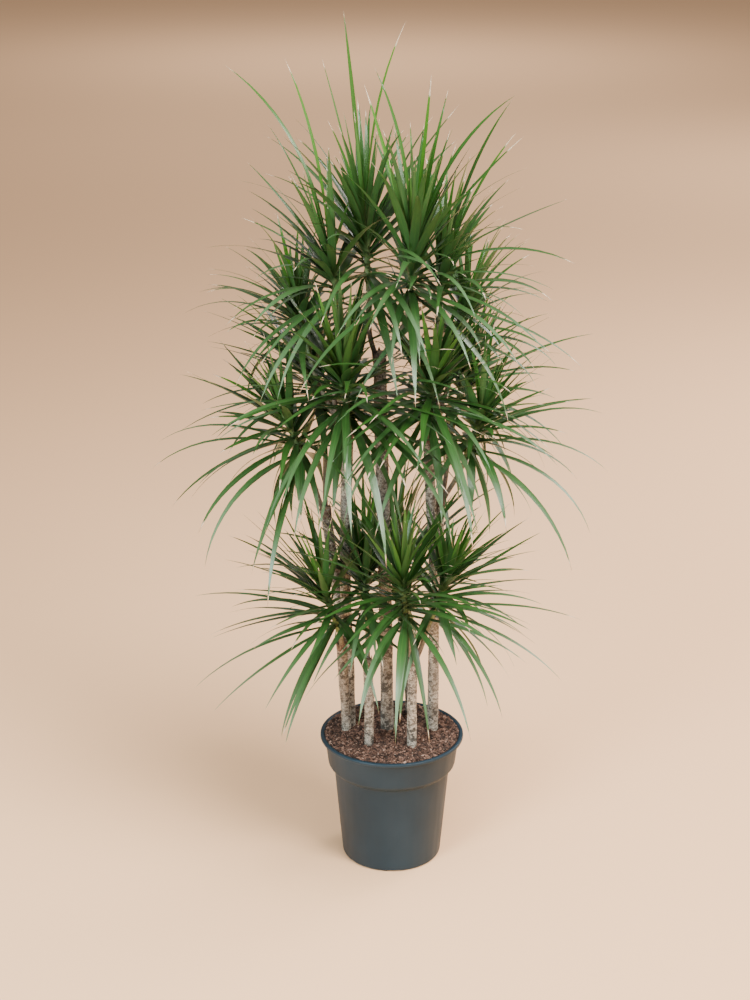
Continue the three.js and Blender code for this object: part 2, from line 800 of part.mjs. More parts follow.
const finish = (color, roughness) => new THREE.MeshStandardMaterial({ color, roughness, metalness: 0 });
const MATERIALS = {
  pot: finish(0x53595b, 0.45),
  soil: finish(0x4a2e22, 0.95),
  bark: finish(0xa39684, 0.85),
  leaf: finish(0x2f6a22, 0.4),
};

const plant = new THREE.Group();

function addPiece(name, solid, material) {
  const mesh = new THREE.Mesh(geometryOf(solid), material);
  mesh.name = name;
  plant.add(mesh);
}

const heads = CANES.flatMap((cane) => cane.shoots).map((shoot, i) => ({ ...shoot, number: i + 1 }));
const numberOf = (shoot) => heads.find((head) => head.name === shoot.name).number;

const stems = CANES.flatMap((cane) => {
  const trunk = roundStruts(caneCurve(cane).getSpacedPoints(CANE_STRAIGHTS), cane.radius, 0);
  const shoots = cane.shoots.map((shoot) => {
    const line = shootCurve(cane, shoot).getSpacedPoints(SHOOT_STRAIGHTS);
    return roundStruts(line, SHOOT_RADIUS, numberOf(shoot));
  });
  return [...trunk, ...shoots.flat()];
});
for (const head of heads) {
  const foot = vector(head.at);
  const tip = foot.clone().addScaledVector(headAxis(head), CORE_LENGTH);
  stems.push(...roundStruts([foot, tip], Math.max(...CORE_RADII), head.number));
}

addPiece("pot", pot(), MATERIALS.pot);
addPiece("soil", soil(CANES), MATERIALS.soil);
for (const cane of CANES) {
  addPiece(`cane_${cane.name}`, caneWithShoots(cane), MATERIALS.bark);
}
for (const [head, blades] of placeBlades(heads, stems)) {
  addPiece(`head_${head.name}`, headSolid(head, blades), MATERIALS.leaf);
}

export default plant;
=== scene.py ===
import math

import bpy
import numpy as np
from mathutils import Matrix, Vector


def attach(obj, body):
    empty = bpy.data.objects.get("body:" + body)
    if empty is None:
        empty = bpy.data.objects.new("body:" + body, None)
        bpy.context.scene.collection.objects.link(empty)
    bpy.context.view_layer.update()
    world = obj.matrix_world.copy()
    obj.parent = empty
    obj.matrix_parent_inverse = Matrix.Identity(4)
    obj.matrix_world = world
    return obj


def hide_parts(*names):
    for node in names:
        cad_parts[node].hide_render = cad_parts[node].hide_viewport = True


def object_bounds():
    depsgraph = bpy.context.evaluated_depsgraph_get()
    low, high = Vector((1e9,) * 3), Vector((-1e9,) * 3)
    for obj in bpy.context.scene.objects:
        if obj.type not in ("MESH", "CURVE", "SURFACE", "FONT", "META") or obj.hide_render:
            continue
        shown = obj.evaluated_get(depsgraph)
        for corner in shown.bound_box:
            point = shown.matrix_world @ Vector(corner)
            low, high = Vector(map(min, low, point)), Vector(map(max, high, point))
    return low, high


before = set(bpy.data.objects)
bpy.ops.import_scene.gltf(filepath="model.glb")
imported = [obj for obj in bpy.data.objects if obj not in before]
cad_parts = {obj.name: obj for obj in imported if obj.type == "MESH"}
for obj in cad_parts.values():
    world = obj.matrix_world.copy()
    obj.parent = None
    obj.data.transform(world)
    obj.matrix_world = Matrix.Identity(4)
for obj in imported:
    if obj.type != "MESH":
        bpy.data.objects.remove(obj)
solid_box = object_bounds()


# ---------------------------------------------------------------- the camera
# The photograph was taken from a little above head height, 3.6 m in front of the pot and slightly
# to its left, with a short telephoto lens tilted down.

CAMERA_PLACE = (-0.037, -3.6, 2.124)
CAMERA_TILT = 19.74  # degrees below level
CAMERA_LENS = 65.37

camera = bpy.data.objects.new("camera", bpy.data.cameras.new("camera"))
camera.data.lens = CAMERA_LENS
camera.data.sensor_width = 36
camera.data.clip_end = 200
camera.location = CAMERA_PLACE
camera.rotation_euler = (math.radians(90 - CAMERA_TILT), 0, 0)
bpy.context.scene.collection.objects.link(camera)
bpy.context.scene.camera = camera


# ---------------------------------------------------------------- floor and light
# A pale floor of warm paper that runs out to the horizon, soft light all round, and large soft
# boxes: the main one high on the right in front, one on the left, one above, and four that light
# the paper behind, more on the right than on the left.

FLOOR_REACH = 60
SQUARE = ((-1, -1), (1, -1), (1, 1), (-1, 1))  # the corners of a square, in turn
FLOOR_COLOUR = (0.91, 0.54, 0.292, 1)
SKY_COLOUR = (1.0, 0.94, 0.87, 1)
SKY_STRENGTH = 0.38
SOFT_BOXES = {
    # name: (place, what it points at, size, watts, colour)
    "main": ((2.6, -2.6, 3.2), (0.2, 0.0, 0.6), 1.8, 235, (1.0, 0.97, 0.93)),
    "side": ((-2.0, -2.6, 1.7), (0.0, 0.0, 0.5), 1.2, 160, (0.82, 0.95, 1.0)),
    "above": ((1.1, -1.8, 5.2), (0.8, -0.9, 0.2), 2.4, 430, (1.0, 0.985, 0.96)),
    "behind": ((3.4, 2.8, 3.0), (2.2, 3.0, 0.0), 2.2, 210, (1.0, 0.95, 0.90)),
    "back_right": ((3.6, 9.0, 3.6), (3.2, 9.4, 0.0), 2.6, 125, (1.0, 0.98, 0.96)),
    "back_left": ((-1.5, 10.5, 4.0), (-1.5, 10.9, 0.0), 2.6, 36, (1.0, 0.98, 0.96)),
    "far": ((0.0, 16.0, 5.0), (0.0, 18.0, 0.0), 3.0, 230, (1.0, 0.98, 0.95)),
}


def finish_of(name, roughness=0.5):
    """A new material, with its node tree and the shader whose sockets the finish is set on."""
    material = bpy.data.materials.new(name)
    material.use_nodes = True
    tree = material.node_tree
    shader = tree.nodes["Principled BSDF"]
    shader.inputs["Roughness"].default_value = roughness
    return material, tree, shader


def node(tree, kind, settings=None, **values):
    """A node of a kind, with its properties from settings and its input sockets from values, whose
    names have _ for a space. A value that is another node's output is linked."""
    made = tree.nodes.new(kind)
    for key, value in (settings or {}).items():
        setattr(made, key, value)
    for key, value in values.items():
        plug(tree, made.inputs[key.replace("_", " ")], value)
    return made


def plug(tree, socket, value):
    """Puts a number, a colour or another node's output into a socket."""
    if isinstance(value, bpy.types.NodeSocket):
        tree.links.new(value, socket)
    elif isinstance(value, tuple) and len(value) == 3 and len(socket.default_value) == 4:
        socket.default_value = (*value, 1)
    else:
        socket.default_value = value


def piece_of(name, points, faces, material, smooth=True):
    """A mesh object at the origin, from points in metres and lists of point numbers."""
    mesh = bpy.data.meshes.new(name)
    mesh.from_pydata(points, [], faces)
    mesh.materials.append(material)
    mesh.shade_smooth() if smooth else mesh.shade_flat()
    made = bpy.data.objects.new(name, mesh)
    bpy.context.scene.collection.objects.link(made)
    return made


paper, _, shader = finish_of("floor_paper", 0.9)
shader.inputs["Base Color"].default_value = FLOOR_COLOUR
floor_corners = [(x * FLOOR_REACH, y * FLOOR_REACH, 0) for x, y in SQUARE]
floor = piece_of("floor", floor_corners, [(0, 1, 2, 3)], paper, smooth=False)

world = bpy.data.worlds.new("world")
world.use_nodes = True
sky = world.node_tree.nodes["Background"]
sky.inputs["Color"].default_value = SKY_COLOUR
sky.inputs["Strength"].default_value = SKY_STRENGTH
bpy.context.scene.world = world

for box_name, (place, aim, size, watts, colour) in SOFT_BOXES.items():
    light = bpy.data.lights.new(box_name, "AREA")
    light.shape = "SQUARE"
    light.size = size
    light.energy = watts
    light.color = colour
    lamp = bpy.data.objects.new(box_name, light)
    lamp.location = place
    away = np.subtract(place, aim)
    level = math.hypot(away[0], away[1])
    lamp.rotation_euler = (math.atan2(level, away[2]), 0, math.atan2(away[0], -away[1]))
    bpy.context.scene.collection.objects.link(lamp)


# ---------------------------------------------------------------- the pot
# A thin nursery pot, blow-moulded in one piece from slate-grey polypropylene: tapered body, wider
# collar, rolled lip, and drainage slots round the foot. Turned about its axis, then slotted.

MM = 0.001  # the plant's sizes are in millimetres, and its meshes in metres
POT_HEIGHT = 290
LIP_RADIUS = 157.5
LIP_WIDTH = 7
LIP_HEIGHT = 8
COLLAR_TOP_RADIUS = 147.5
COLLAR_FOOT_RADIUS = 140
COLLAR_HEIGHT = 70
STEP_HEIGHT = 10
STEP_INSIDE = 8  # the same on the inside of the wall
BODY_TOP_RADIUS = 127.5
BODY_FOOT_RADIUS = 109
FOOT_RING_INSET = 14  # of a ring of points on the flat underside
POT_WALL = 2.4
POT_FLOOR = 3
SLOT_COUNT = 4
SLOT_SIZE = (13, 28, 3.6)  # inwards, along the foot and up
BOX_FACES = [(0, 3, 2, 1), (4, 5, 6, 7), (0, 1, 5, 4), (1, 2, 6, 5), (2, 3, 7, 6), (3, 0, 4, 7)]
SLOT_TURN = -88  # degrees, where the first slot faces
POT_SIDES = 240
SLATE = (0.0085, 0.0230, 0.0350)
SCUFFED_SLATE = (0.0140, 0.0335, 0.0500)


def rounded(corners, steps=6):
    """A profile with its corners rounded. Each corner is (radius, height, rounding). A rounding is
    an arc that leaves both straight runs at equal distances from the corner: the quadratic curve
    a(1-t)^2 + 2ct(1-t) + bt^2 between the points a and b on the two runs."""
    points = []
    places = np.array([corner[:2] for corner in corners], float)
    for i, (place, rounding) in enumerate(zip(places, [corner[2] for corner in corners])):
        if rounding == 0:
            points.append(place[None])
            continue
        before = places[i - 1] - place
        after = places[i + 1] - place
        start = place + before * rounding / np.linalg.norm(before)
        end = place + after * rounding / np.linalg.norm(after)
        t = np.linspace(0, 1, steps)[:, None]
        points.append(start * (1 - t) ** 2 + 2 * place * t * (1 - t) + end * t**2)
    return np.concatenate(points)


def ring_quads(rings, sides, closed=False):
    """Quads between rings of points, and between the last and the first where they are closed."""
    ring, side = np.meshgrid(np.arange(rings - (not closed)), np.arange(sides), indexing="ij")
    ring, side = ring.ravel(), side.ravel()
    after, above = (side + 1) % sides, (ring + 1) % rings
    corners = [ring * sides + side, ring * sides + after, above * sides + after, above * sides + side]
    return np.stack(corners, axis=1)


def turned(profile, sides):
    """A profile of radii and heights, which starts and ends on the axis, turned about Z: the point
    at turn a of radius r and height z is (r cos a, r sin a, z). Returns points and faces."""
    turn = np.linspace(0, 2 * np.pi, sides, endpoint=False)
    radius, height = profile[1:-1, :1], profile[1:-1, 1:]
    rings = np.stack([radius * np.cos(turn), radius * np.sin(turn), height + 0 * turn], axis=-1)
    points = np.vstack([rings.reshape(-1, 3), [0, 0, profile[0, 1]], [0, 0, profile[-1, 1]]])
    foot, top = len(points) - 2, len(points) - 1
    side = np.arange(sides)
    after = (side + 1) % sides
    last = foot - sides
    low = np.stack([np.full(sides, foot), after, side], axis=1)
    high = np.stack([np.full(sides, top), last + side, last + after], axis=1)
    return points, ring_quads(len(rings), sides).tolist() + low.tolist() + high.tolist()


pot_step = POT_HEIGHT - COLLAR_HEIGHT
under_lip = POT_HEIGHT - LIP_HEIGHT
pot_profile = rounded(
    [
        (0, 0, 0),
        (BODY_FOOT_RADIUS - FOOT_RING_INSET, 0, 0),
        (BODY_FOOT_RADIUS, 0, 7),
        (BODY_TOP_RADIUS, pot_step - STEP_HEIGHT, 4),
        (COLLAR_FOOT_RADIUS, pot_step, 6),
        (COLLAR_TOP_RADIUS, under_lip, 2),
        (LIP_RADIUS, under_lip, 3),
        (LIP_RADIUS, POT_HEIGHT, 3),
        (LIP_RADIUS - LIP_WIDTH, POT_HEIGHT, 2.5),
        (COLLAR_TOP_RADIUS - POT_WALL, under_lip + 2, 3),
        (COLLAR_FOOT_RADIUS - POT_WALL, pot_step + POT_WALL, 3),
        (BODY_TOP_RADIUS - POT_WALL, pot_step - STEP_INSIDE, 3),
        (BODY_FOOT_RADIUS - POT_WALL, POT_FLOOR, 3),
        (0, POT_FLOOR, 0),
    ]
)


def kept(tree, name):
    """The number that a piece keeps for each point under a name."""
    return node(tree, "ShaderNodeAttribute", {"attribute_name": name}).outputs["Fac"]


def here(tree, stretch=(1.0, 1.0, 1.0)):
    """The place on the object, in metres, with each direction's pattern made finer or coarser."""
    place = node(tree, "ShaderNodeTexCoord").outputs["Object"]
    return node(tree, "ShaderNodeMapping", Vector=place, Scale=stretch).outputs["Vector"]


def clouds(tree, place, scale, detail=3.0, roughness=0.5):
    """Soft random patches, as a number from 0 to 1."""
    return node(
        tree, "ShaderNodeTexNoise", Vector=place, Scale=scale, Detail=detail, Roughness=roughness
    ).outputs["Fac"]


def worked(tree, operation, a, b=0.0):
    """One step of arithmetic on numbers or sockets."""
    made = node(tree, "ShaderNodeMath", {"operation": operation})
    plug(tree, made.inputs[0], a)
    plug(tree, made.inputs[1], b)
    return made.outputs["Value"]


def eased(tree, value, low, high, to_low=0.0, to_high=1.0):
    """A number from between low and high, eased to between to_low and to_high."""
    return node(
        tree,
        "ShaderNodeMapRange",
        {"interpolation_type": "SMOOTHSTEP"},
        Value=value,
        From_Min=low,
        From_Max=high,
        To_Min=to_low,
        To_Max=to_high,
    ).outputs["Result"]


def blended(tree, share, a, b):
    """A colour that goes from a to b with a share."""
    made = node(tree, "ShaderNodeMix", {"data_type": "RGBA"})
    for socket, value in ((made.inputs[0], share), (made.inputs[6], a), (made.inputs[7], b)):
        plug(tree, socket, value)
    return made.outputs[2]


def ramp(tree, value, stops):
    """The colours of stops of (position, colour), read at a value."""
    made = node(tree, "ShaderNodeValToRGB", Fac=value)
    steps = made.color_ramp.elements
    while len(steps) < len(stops):
        steps.new(0.5)
    for step, (position, colour) in zip(steps, stops):
        step.position = position
        step.color = (*colour, 1)
    return made.outputs["Color"]


def bumped(tree, shader, height, strength, depth):
    """Fine relief of a depth in metres."""
    bump = node(tree, "ShaderNodeBump", Strength=strength, Distance=depth, Height=height)
    plug(tree, shader.inputs["Normal"], bump.outputs["Normal"])


plastic, tree, shader = finish_of("slate_plastic")
shader.inputs["Specular IOR Level"].default_value = 0.24
dull = clouds(tree, here(tree), 7.0, 4.0)
drawn = clouds(tree, here(tree, (50.0, 50.0, 3.0)), 1.0, 4.0)
scuffed = blended(tree, eased(tree, dull, 0.3, 0.75), SLATE, SCUFFED_SLATE)
plug(tree, shader.inputs["Base Color"], scuffed)
plug(tree, shader.inputs["Roughness"], eased(tree, drawn, 0.3, 0.7, 0.42, 0.52))
bumped(tree, shader, clouds(tree, here(tree), 900.0, 2.0), 0.12, 0.0002)

points, faces = turned(pot_profile, POT_SIDES)
pot = piece_of("pot_shell", points * MM, faces, plastic)
slot_depth, slot_length, slot_height = SLOT_SIZE
for i in range(SLOT_COUNT):
    heading = math.radians(SLOT_TURN + 360 * i / SLOT_COUNT)
    out = np.array([math.cos(heading), math.sin(heading), 0])
    along = np.array([-out[1], out[0], 0])
    corners = [
        out * BODY_FOOT_RADIUS + out * a * slot_depth + along * b * slot_length / 2 + [0, 0, z]
        for z in (-slot_height, slot_height)
        for a, b in SQUARE
    ]
    cutter = piece_of("slot_cutter", np.array(corners) * MM, BOX_FACES, plastic)
    cut = pot.modifiers.new("slot", "BOOLEAN")
    cut.operation = "DIFFERENCE"
    cut.solver = "EXACT"
    cut.object = cutter
    slotted = pot.evaluated_get(bpy.context.evaluated_depsgraph_get())
    pot_mesh = bpy.data.meshes.new_from_object(slotted)
    pot.modifiers.clear()
    pot.data = pot_mesh
    bpy.data.objects.remove(cutter)
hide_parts("pot")
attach(pot, "root")


# ---------------------------------------------------------------- the canes, their places
# Nine lengths of bare trunk were rooted in one pot, cut at stepped heights, and each put out thin
# shoots near its cut top. A shoot leaves sideways, turns up, and ends in a head of leaves.

SOIL_EDGE_HEIGHT = 284
SOIL_HEAP = 3.5
SOIL_LUMPS = 1.8
CANE_FOOT_HEIGHT = 226
BOW_START = (0.3, 0.45)  # of the way to a cane's middle, sideways and up, at its second stop
CURVE_STEPS = 200  # straight steps over which a curve's length is summed
SHOOT_RADIUS = 5.8
SHOOT_START_BELOW_TOP = 22
SHOOT_OUTWARDS = 0.55  # over upwards, where a shoot leaves its cane
SHOOT_REACH = 0.4  # of the way between a shoot's ends, how far each end pulls its curve

# name: foot, middle of the cut top, bow of its middle, radius, and the heads its shoots carry
CANES = {
    "left_short": ((-100, 17), (-109, -35, 523), (0, 3), 10.5, ("low_left",)),
    "front_left": ((-50, -55), (-53, -75, 497), (2, 0), 10, ("low_middle",)),
    "front_right": ((43, -62), (44, -85, 511), (-1, 0), 10, ("low_front", "low_right")),
    "back_short": ((42, 101), (40, 118, 450), (-2, 0), 10, ("low_back",)),
    "left_outer": ((-98, 70), (-143, 25, 805), (9, 0), 11, ("mid_left", "mid_left_back")),
    "left_inner": (
        (-92, 42), (-94, -20, 989), (-8, 0), 11.5, ("mid_front_left", "high_left", "high_left_back")
    ),
    "centre_tall": ((-10, 21), (-28, 12, 1151), (1, 0), 13.5, ("top_left", "top_right")),
    "right_inner": (
        (92, 17), (72, -10, 984), (8, 2), 10.5, ("mid_front_right", "high_right", "high_right_back")
    ),
    "right_outer": ((90, 44), (102, 32, 828), (-3, 6), 10.5, ("mid_right", "mid_right_back")),
}

# name: foot of the leafy tip, lean (sideways over upwards), habit, blades, longest blade
HEADS = {
    "low_left": ((-114, -62, 561), (-0.3, -0.15), "low", 19, 304),
    "low_middle": ((-54, -42, 588), (-0.05, 0.1), "low", 24, 322),
    "low_front": ((29, -122, 604), (-0.1, -0.25), "low", 26, 315),
    "low_right": ((83, -75, 598), (0.35, -0.1), "low", 20, 255),
    "low_back": ((14, 136, 535), (-0.1, 0.3), "low", 24, 340),
    "mid_left": ((-184, -22, 930), (-0.4, -0.1), "middle", 17, 300),
    "mid_left_back": ((-150, 72, 992), (-0.2, 0.3), "middle", 22, 295),
    "mid_front_left": ((-92, -44, 1022), (-0.1, -0.25), "middle", 28, 350),
    "high_left": ((-112, -20, 1250), (-0.12, -0.05), "top", 24, 315),
    "high_left_back": ((-172, 30, 1138), (-0.25, 0.15), "side", 25, 280),
    "top_left": ((-51, 4, 1300), (-0.05, 0.05), "top", 30, 360),
    "top_right": ((32, -48, 1270), (0.05, -0.1), "top", 30, 350),
    "mid_front_right": ((71, -36, 1016), (0.1, -0.3), "middle", 28, 350),
    "high_right": ((92, 4, 1236), (0.08, -0.05), "top", 24, 305),
    "high_right_back": ((132, 52, 1136), (0.2, 0.2), "side", 25, 258),
    "mid_right": ((152, -32, 940), (0.3, -0.15), "middle", 17, 265),
    "mid_right_back": ((132, 82, 990), (0.25, 0.3), "middle", 22, 265),
}
HEAD_NUMBERS = {name: i + 1 for i, name in enumerate(HEADS)}


def unit(v):
    """A vector, or rows of vectors, over its own length."""
    return v / np.linalg.norm(v, axis=-1, keepdims=True)


def head_axis(name):
    """The way the leafy tip of a head points: its lean, one unit up, over its length."""
    return unit(np.array([*HEADS[name][1], 1.0]))


def run_along(line):
    """How far along a line of points each of them lies."""
    return np.concatenate([[0], np.cumsum(np.linalg.norm(np.diff(line, axis=0), axis=1))])


def even_points(curve, shares):
    """Points at shares of a curve's length: its length is summed over straight steps, and each
    share is turned into the curve's own parameter by linear interpolation."""
    steps = np.linspace(0, 1, CURVE_STEPS + 1)
    run = run_along(curve(steps))
    return curve(np.interp(np.asarray(shares) * run[-1], run, steps))


def curve_length(curve):
    """A curve's length, summed over straight steps."""
    line = curve(np.linspace(0, 1, CURVE_STEPS + 1))
    return np.linalg.norm(np.diff(line, axis=0), axis=1).sum()


def through(stops):
    """The curve through four stops whose parameter grows with the square root of the distance
    between them, straight on past both ends, as a function of a share of its three stretches."""
    stops = np.array(stops, float)
    ends = [2 * stops[0] - stops[1], 2 * stops[-1] - stops[-2]]
    full = np.vstack([ends[0], stops, ends[1]])
    gaps = np.linalg.norm(np.diff(full, axis=0), axis=1) ** 0.5

    def at(t):
        t = np.atleast_1d(t) * (len(stops) - 1)
        i = np.minimum(t.astype(int), len(stops) - 2)
        w = (t - i)[:, None]
        p0, p1, p2, p3 = (full[i + k] for k in range(4))
        g0, g1, g2 = (gaps[i + k][:, None] for k in range(3))
        m1 = g1 * ((p1 - p0) / g0 - (p2 - p0) / (g0 + g1) + (p2 - p1) / g1)
        m2 = g1 * ((p2 - p1) / g1 - (p3 - p1) / (g1 + g2) + (p3 - p2) / g2)
        cubic = 2 * p1 - 2 * p2 + m1 + m2
        square = -3 * p1 + 3 * p2 - 2 * m1 - m2
        return p1 + m1 * w + square * w**2 + cubic * w**3

    return at


def cane_curve(name):
    """The middle line of a cane from the soil up, with its slight bow."""
    foot, top, bow, _, _ = CANES[name]
    start = np.array([*foot, SOIL_EDGE_HEIGHT], float)
    end = np.array(top, float)
    middle = (start + end) / 2 + [*bow, 0]
    leaned, risen = BOW_START
    return through([start, start + (middle - start) * [leaned, leaned, risen], middle, end])


def shoot_curve(cane, head):
    """A shoot's middle line: the cubic curve a(1-t)^3 + 3bt(1-t)^2 + 3ct^2(1-t) + dt^3 that leaves
    its cane upwards and to one side and runs into the axis of its head."""
    trunk = cane_curve(cane)
    start = even_points(trunk, [1 - SHOOT_START_BELOW_TOP / curve_length(trunk)])[0]
    end = np.array(HEADS[head][0], float)
    reach = SHOOT_REACH * np.linalg.norm(end - start)
    away = unit((end - start) * [1, 1, 0])
    near = start + reach * unit(SHOOT_OUTWARDS * away + [0, 0, 1])
    far = end - reach * head_axis(head)

    def at(t):
        t = np.atleast_1d(t)[:, None]
        left = 1 - t
        return start * left**3 + 3 * near * t * left**2 + 3 * far * t**2 * left + end * t**3

    return at


# ---------------------------------------------------------------- the soil
# Bark and peat fills the pot to just under its lip, heaped a little in the middle, with loose
# chips of bark on top. The bed is one turned body with a lumpy top, and the chips lie on it.

SOIL_COLOURS = [
    (0.00, (0.015, 0.008, 0.005)),
    (0.33, (0.052, 0.025, 0.016)),
    (0.58, (0.135, 0.066, 0.043)),
    (0.82, (0.260, 0.145, 0.102)),
    (1.00, (0.520, 0.370, 0.280)),
]
SOIL_RIM = 3.8  # how much higher the soil stands against the lip
SOIL_GAP = 0.7  # between the soil and the pot's wall
SOIL_LIFT = 0.35  # of the soil off the pot's floor
RIM_RADIUS = 147.4
RIM_HEIGHT = 287.2
BED_RINGS = 70
BED_SIDES = 180
BED_SHARES = (0.97, 0.0005)  # of the bed's top, inside the first and the last ring on it
BED_TINT = -0.1

# name: seed, count, half length, half width, half thickness, rise in half thicknesses, and tints
LOOSE_BARK = {
    "soil_chips": (
        11, 3400, (2.8, 8.5), (1.6, 4.0), (0.6, 1.6), 0.5, (-0.2, -0.05, 0.05, 0.15, 0.22, 0.38)
    ),
    "soil_crumbs": (
        12, 5600, (0.9, 2.8), (0.7, 2.0), (0.5, 1.3), 0.3, (-0.25, -0.1, 0.05, 0.15, 0.3, 0.5)
    ),
}
CANE_BERTH = 1.5  # between the middle of a chip and a cane
CORNER_STRAY = (0.72, 1.18)  # how far in or out a chip's corners stray
CHIP_TILTS = (0.32, 0.28)  # how much chips tilt lengthways and sideways, in radians
CHIP_PILE = 1.6  # how high chips lie over each other
TINT_STRAY = 0.05
CHIP_REACH = (0.4, 0.9, 5)  # past the soil's edge, more for each mm up, and up to which height


def between(low, high, share):
    """The value at a share of the way from low to high."""
    return low + (high - low) * share


def soil_radius(height):
    """The soil's own radius just inside the pot's wall at a height."""
    up_body = np.minimum(height / (pot_step - STEP_INSIDE), 1)
    up_collar = np.minimum((height - pot_step - POT_WALL) / (COLLAR_HEIGHT - POT_WALL), 1)
    body = between(BODY_FOOT_RADIUS, BODY_TOP_RADIUS, up_body)
    collar = between(COLLAR_FOOT_RADIUS, COLLAR_TOP_RADIUS, up_collar)
    return float(np.where(height < pot_step, body, collar) - (POT_WALL + SOIL_GAP))


def soil_height(x, y):
    """Height of the soil's surface: a low heap that rises again against the lip, and lumps as
    products and sums of sines whose lengths share no common multiple, fading out at the edge."""
    out = np.hypot(x, y) / COLLAR_TOP_RADIUS
    lumps = np.sin(0.071 * x + 1.3) * np.cos(0.083 * y) + 0.6 * np.sin(0.19 * x - 0.17 * y)
    heap = SOIL_HEAP * (1 - out**2) + SOIL_RIM * out**6
    return SOIL_EDGE_HEIGHT + heap + SOIL_LUMPS * lumps * (1 - np.minimum(out, 1) ** 4)


def fine_lumps(x, y):
    """Small lumps on the soil: the sum of three crossed waves, 8 to 9 mm long, cut off below."""
    waves = np.sin(0.61 * x + 0.3 * y) + np.sin(0.47 * y - 0.52 * x + 2)
    waves += np.sin(0.33 * x + 0.71 * y + 4)
    return 0.55 * np.maximum(waves, -1.2)


def store(piece, name, values):
    """Keeps one number for each point of a piece, for its material to read."""
    piece.data.attributes.new(name, "FLOAT", "POINT").data.foreach_set(
        "value", np.asarray(values, np.float32)
    )


earth, tree, shader = finish_of("bark_and_peat", 0.95)
damp = clouds(tree, here(tree), 16.0, 3.0)
mixed = clouds(tree, here(tree), 75.0, 6.0, 0.7)
flecks = node(tree, "ShaderNodeTexVoronoi", Vector=here(tree), Scale=420.0).outputs["Distance"]
flecked = worked(tree, "MULTIPLY", flecks, 0.2)
shade = worked(tree, "ADD", worked(tree, "MULTIPLY", mixed, 0.55), flecked)
shade = worked(tree, "ADD", shade, kept(tree, "tint"))
shade = worked(tree, "SUBTRACT", shade, eased(tree, damp, 0.4, 0.75, 0.0, 0.12))
plug(tree, shader.inputs["Base Color"], ramp(tree, shade, SOIL_COLOURS))
bumped(tree, shader, clouds(tree, here(tree), 420.0, 5.0), 0.7, 0.0012)

bed_foot = POT_FLOOR + SOIL_LIFT
edge = soil_radius(SOIL_EDGE_HEIGHT)
bed_wall = [
    (0, bed_foot),
    (soil_radius(bed_foot), bed_foot),
    (soil_radius(pot_step - STEP_INSIDE), pot_step - STEP_INSIDE),
    (soil_radius(pot_step + POT_WALL), pot_step + 2 * POT_WALL),
    (edge, SOIL_EDGE_HEIGHT),
    (RIM_RADIUS, RIM_HEIGHT),
]
bed_shares = np.linspace(*BED_SHARES, BED_RINGS)
bed_top = [(RIM_RADIUS * math.sqrt(share), POT_HEIGHT) for share in bed_shares]
points, faces = turned(np.array([*bed_wall, *bed_top, (0, POT_HEIGHT)], float), BED_SIDES)
x, y, z = points.T
on_top = z == POT_HEIGHT
points[on_top, 2] = (soil_height(x, y) + fine_lumps(x, y))[on_top]
bed = piece_of("soil_bed", points * MM, faces, earth)
store(bed, "tint", np.full(len(points), BED_TINT))
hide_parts("soil")
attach(bed, "root")


def chip_shape():
    """A bark chip: the twelve points and twenty faces of a regular solid."""
    g = (1 + math.sqrt(5)) / 2
    corners = [(-1, g, 0), (1, g, 0), (-1, -g, 0), (1, -g, 0), (0, -1, g), (0, 1, g)]
    corners += [(0, -1, -g), (0, 1, -g), (g, 0, -1), (g, 0, 1), (-g, 0, -1), (-g, 0, 1)]
    faces = [(0, 11, 5), (0, 5, 1), (0, 1, 7), (0, 7, 10), (0, 10, 11), (1, 5, 9), (5, 11, 4)]
    faces += [(11, 10, 2), (10, 7, 6), (7, 1, 8), (3, 9, 4), (3, 4, 2), (3, 2, 6), (3, 6, 8)]
    faces += [(3, 8, 9), (4, 9, 5), (2, 4, 11), (6, 2, 10), (8, 6, 7), (9, 8, 1)]
    return unit(np.array(corners, float)), np.array(faces)


def swung(points, first, second, angle):
    """Points turned by an angle in the plane of two of their coordinates."""
    c, s = np.cos(angle)[:, None], np.sin(angle)[:, None]
    a, b = points[..., first].copy(), points[..., second].copy()
    points[..., first] = a * c - b * s
    points[..., second] = a * s + b * c


def scatter(seed, count, sizes, rise, tints):
    """Loose chips on the soil: places spread evenly over the disc, kept off the canes, each chip
    stretched, tilted a little, turned at random and laid on the surface. Returns points, faces and
    a tint for each point."""
    draws = np.random.default_rng(seed)
    shape, faces = chip_shape()
    radius = RIM_RADIUS * np.sqrt(draws.random(count))
    angle = 2 * np.pi * draws.random(count)
    x, y = radius * np.cos(angle), radius * np.sin(angle)
    for (foot_x, foot_y), _, _, thick, _ in CANES.values():
        clear = np.hypot(x - foot_x, y - foot_y) > thick + CANE_BERTH
        x, y = x[clear], y[clear]
    count = len(x)
    half = np.stack([draws.uniform(low, high, count) for low, high in sizes], axis=1)
    corners = shape[None] * draws.uniform(*CORNER_STRAY, (count, len(shape), 1)) * half[:, None]
    swung(corners, 0, 2, draws.normal(0, CHIP_TILTS[0], count))
    swung(corners, 1, 2, draws.normal(0, CHIP_TILTS[1], count))
    swung(corners, 0, 1, draws.uniform(0, 2 * np.pi, count))
    height = soil_height(x, y) + fine_lumps(x, y) + rise * half[:, 2]
    height += draws.uniform(0, CHIP_PILE, count)
    corners += np.stack([x, y, height], axis=1)[:, None]
    past, widening, highest = CHIP_REACH
    wall = edge + past + widening * np.clip(corners[..., 2] - SOIL_EDGE_HEIGHT, 0, highest)
    beyond = np.hypot(corners[..., 0], corners[..., 1]) / wall
    corners[..., :2] /= np.maximum(beyond, 1)[..., None]
    numbers = faces[None] + len(shape) * np.arange(count)[:, None, None]
    tint = np.repeat(draws.choice(tints, count) + draws.normal(0, TINT_STRAY, count), len(shape))
    return corners.reshape(-1, 3), numbers.reshape(-1, 3).tolist(), tint


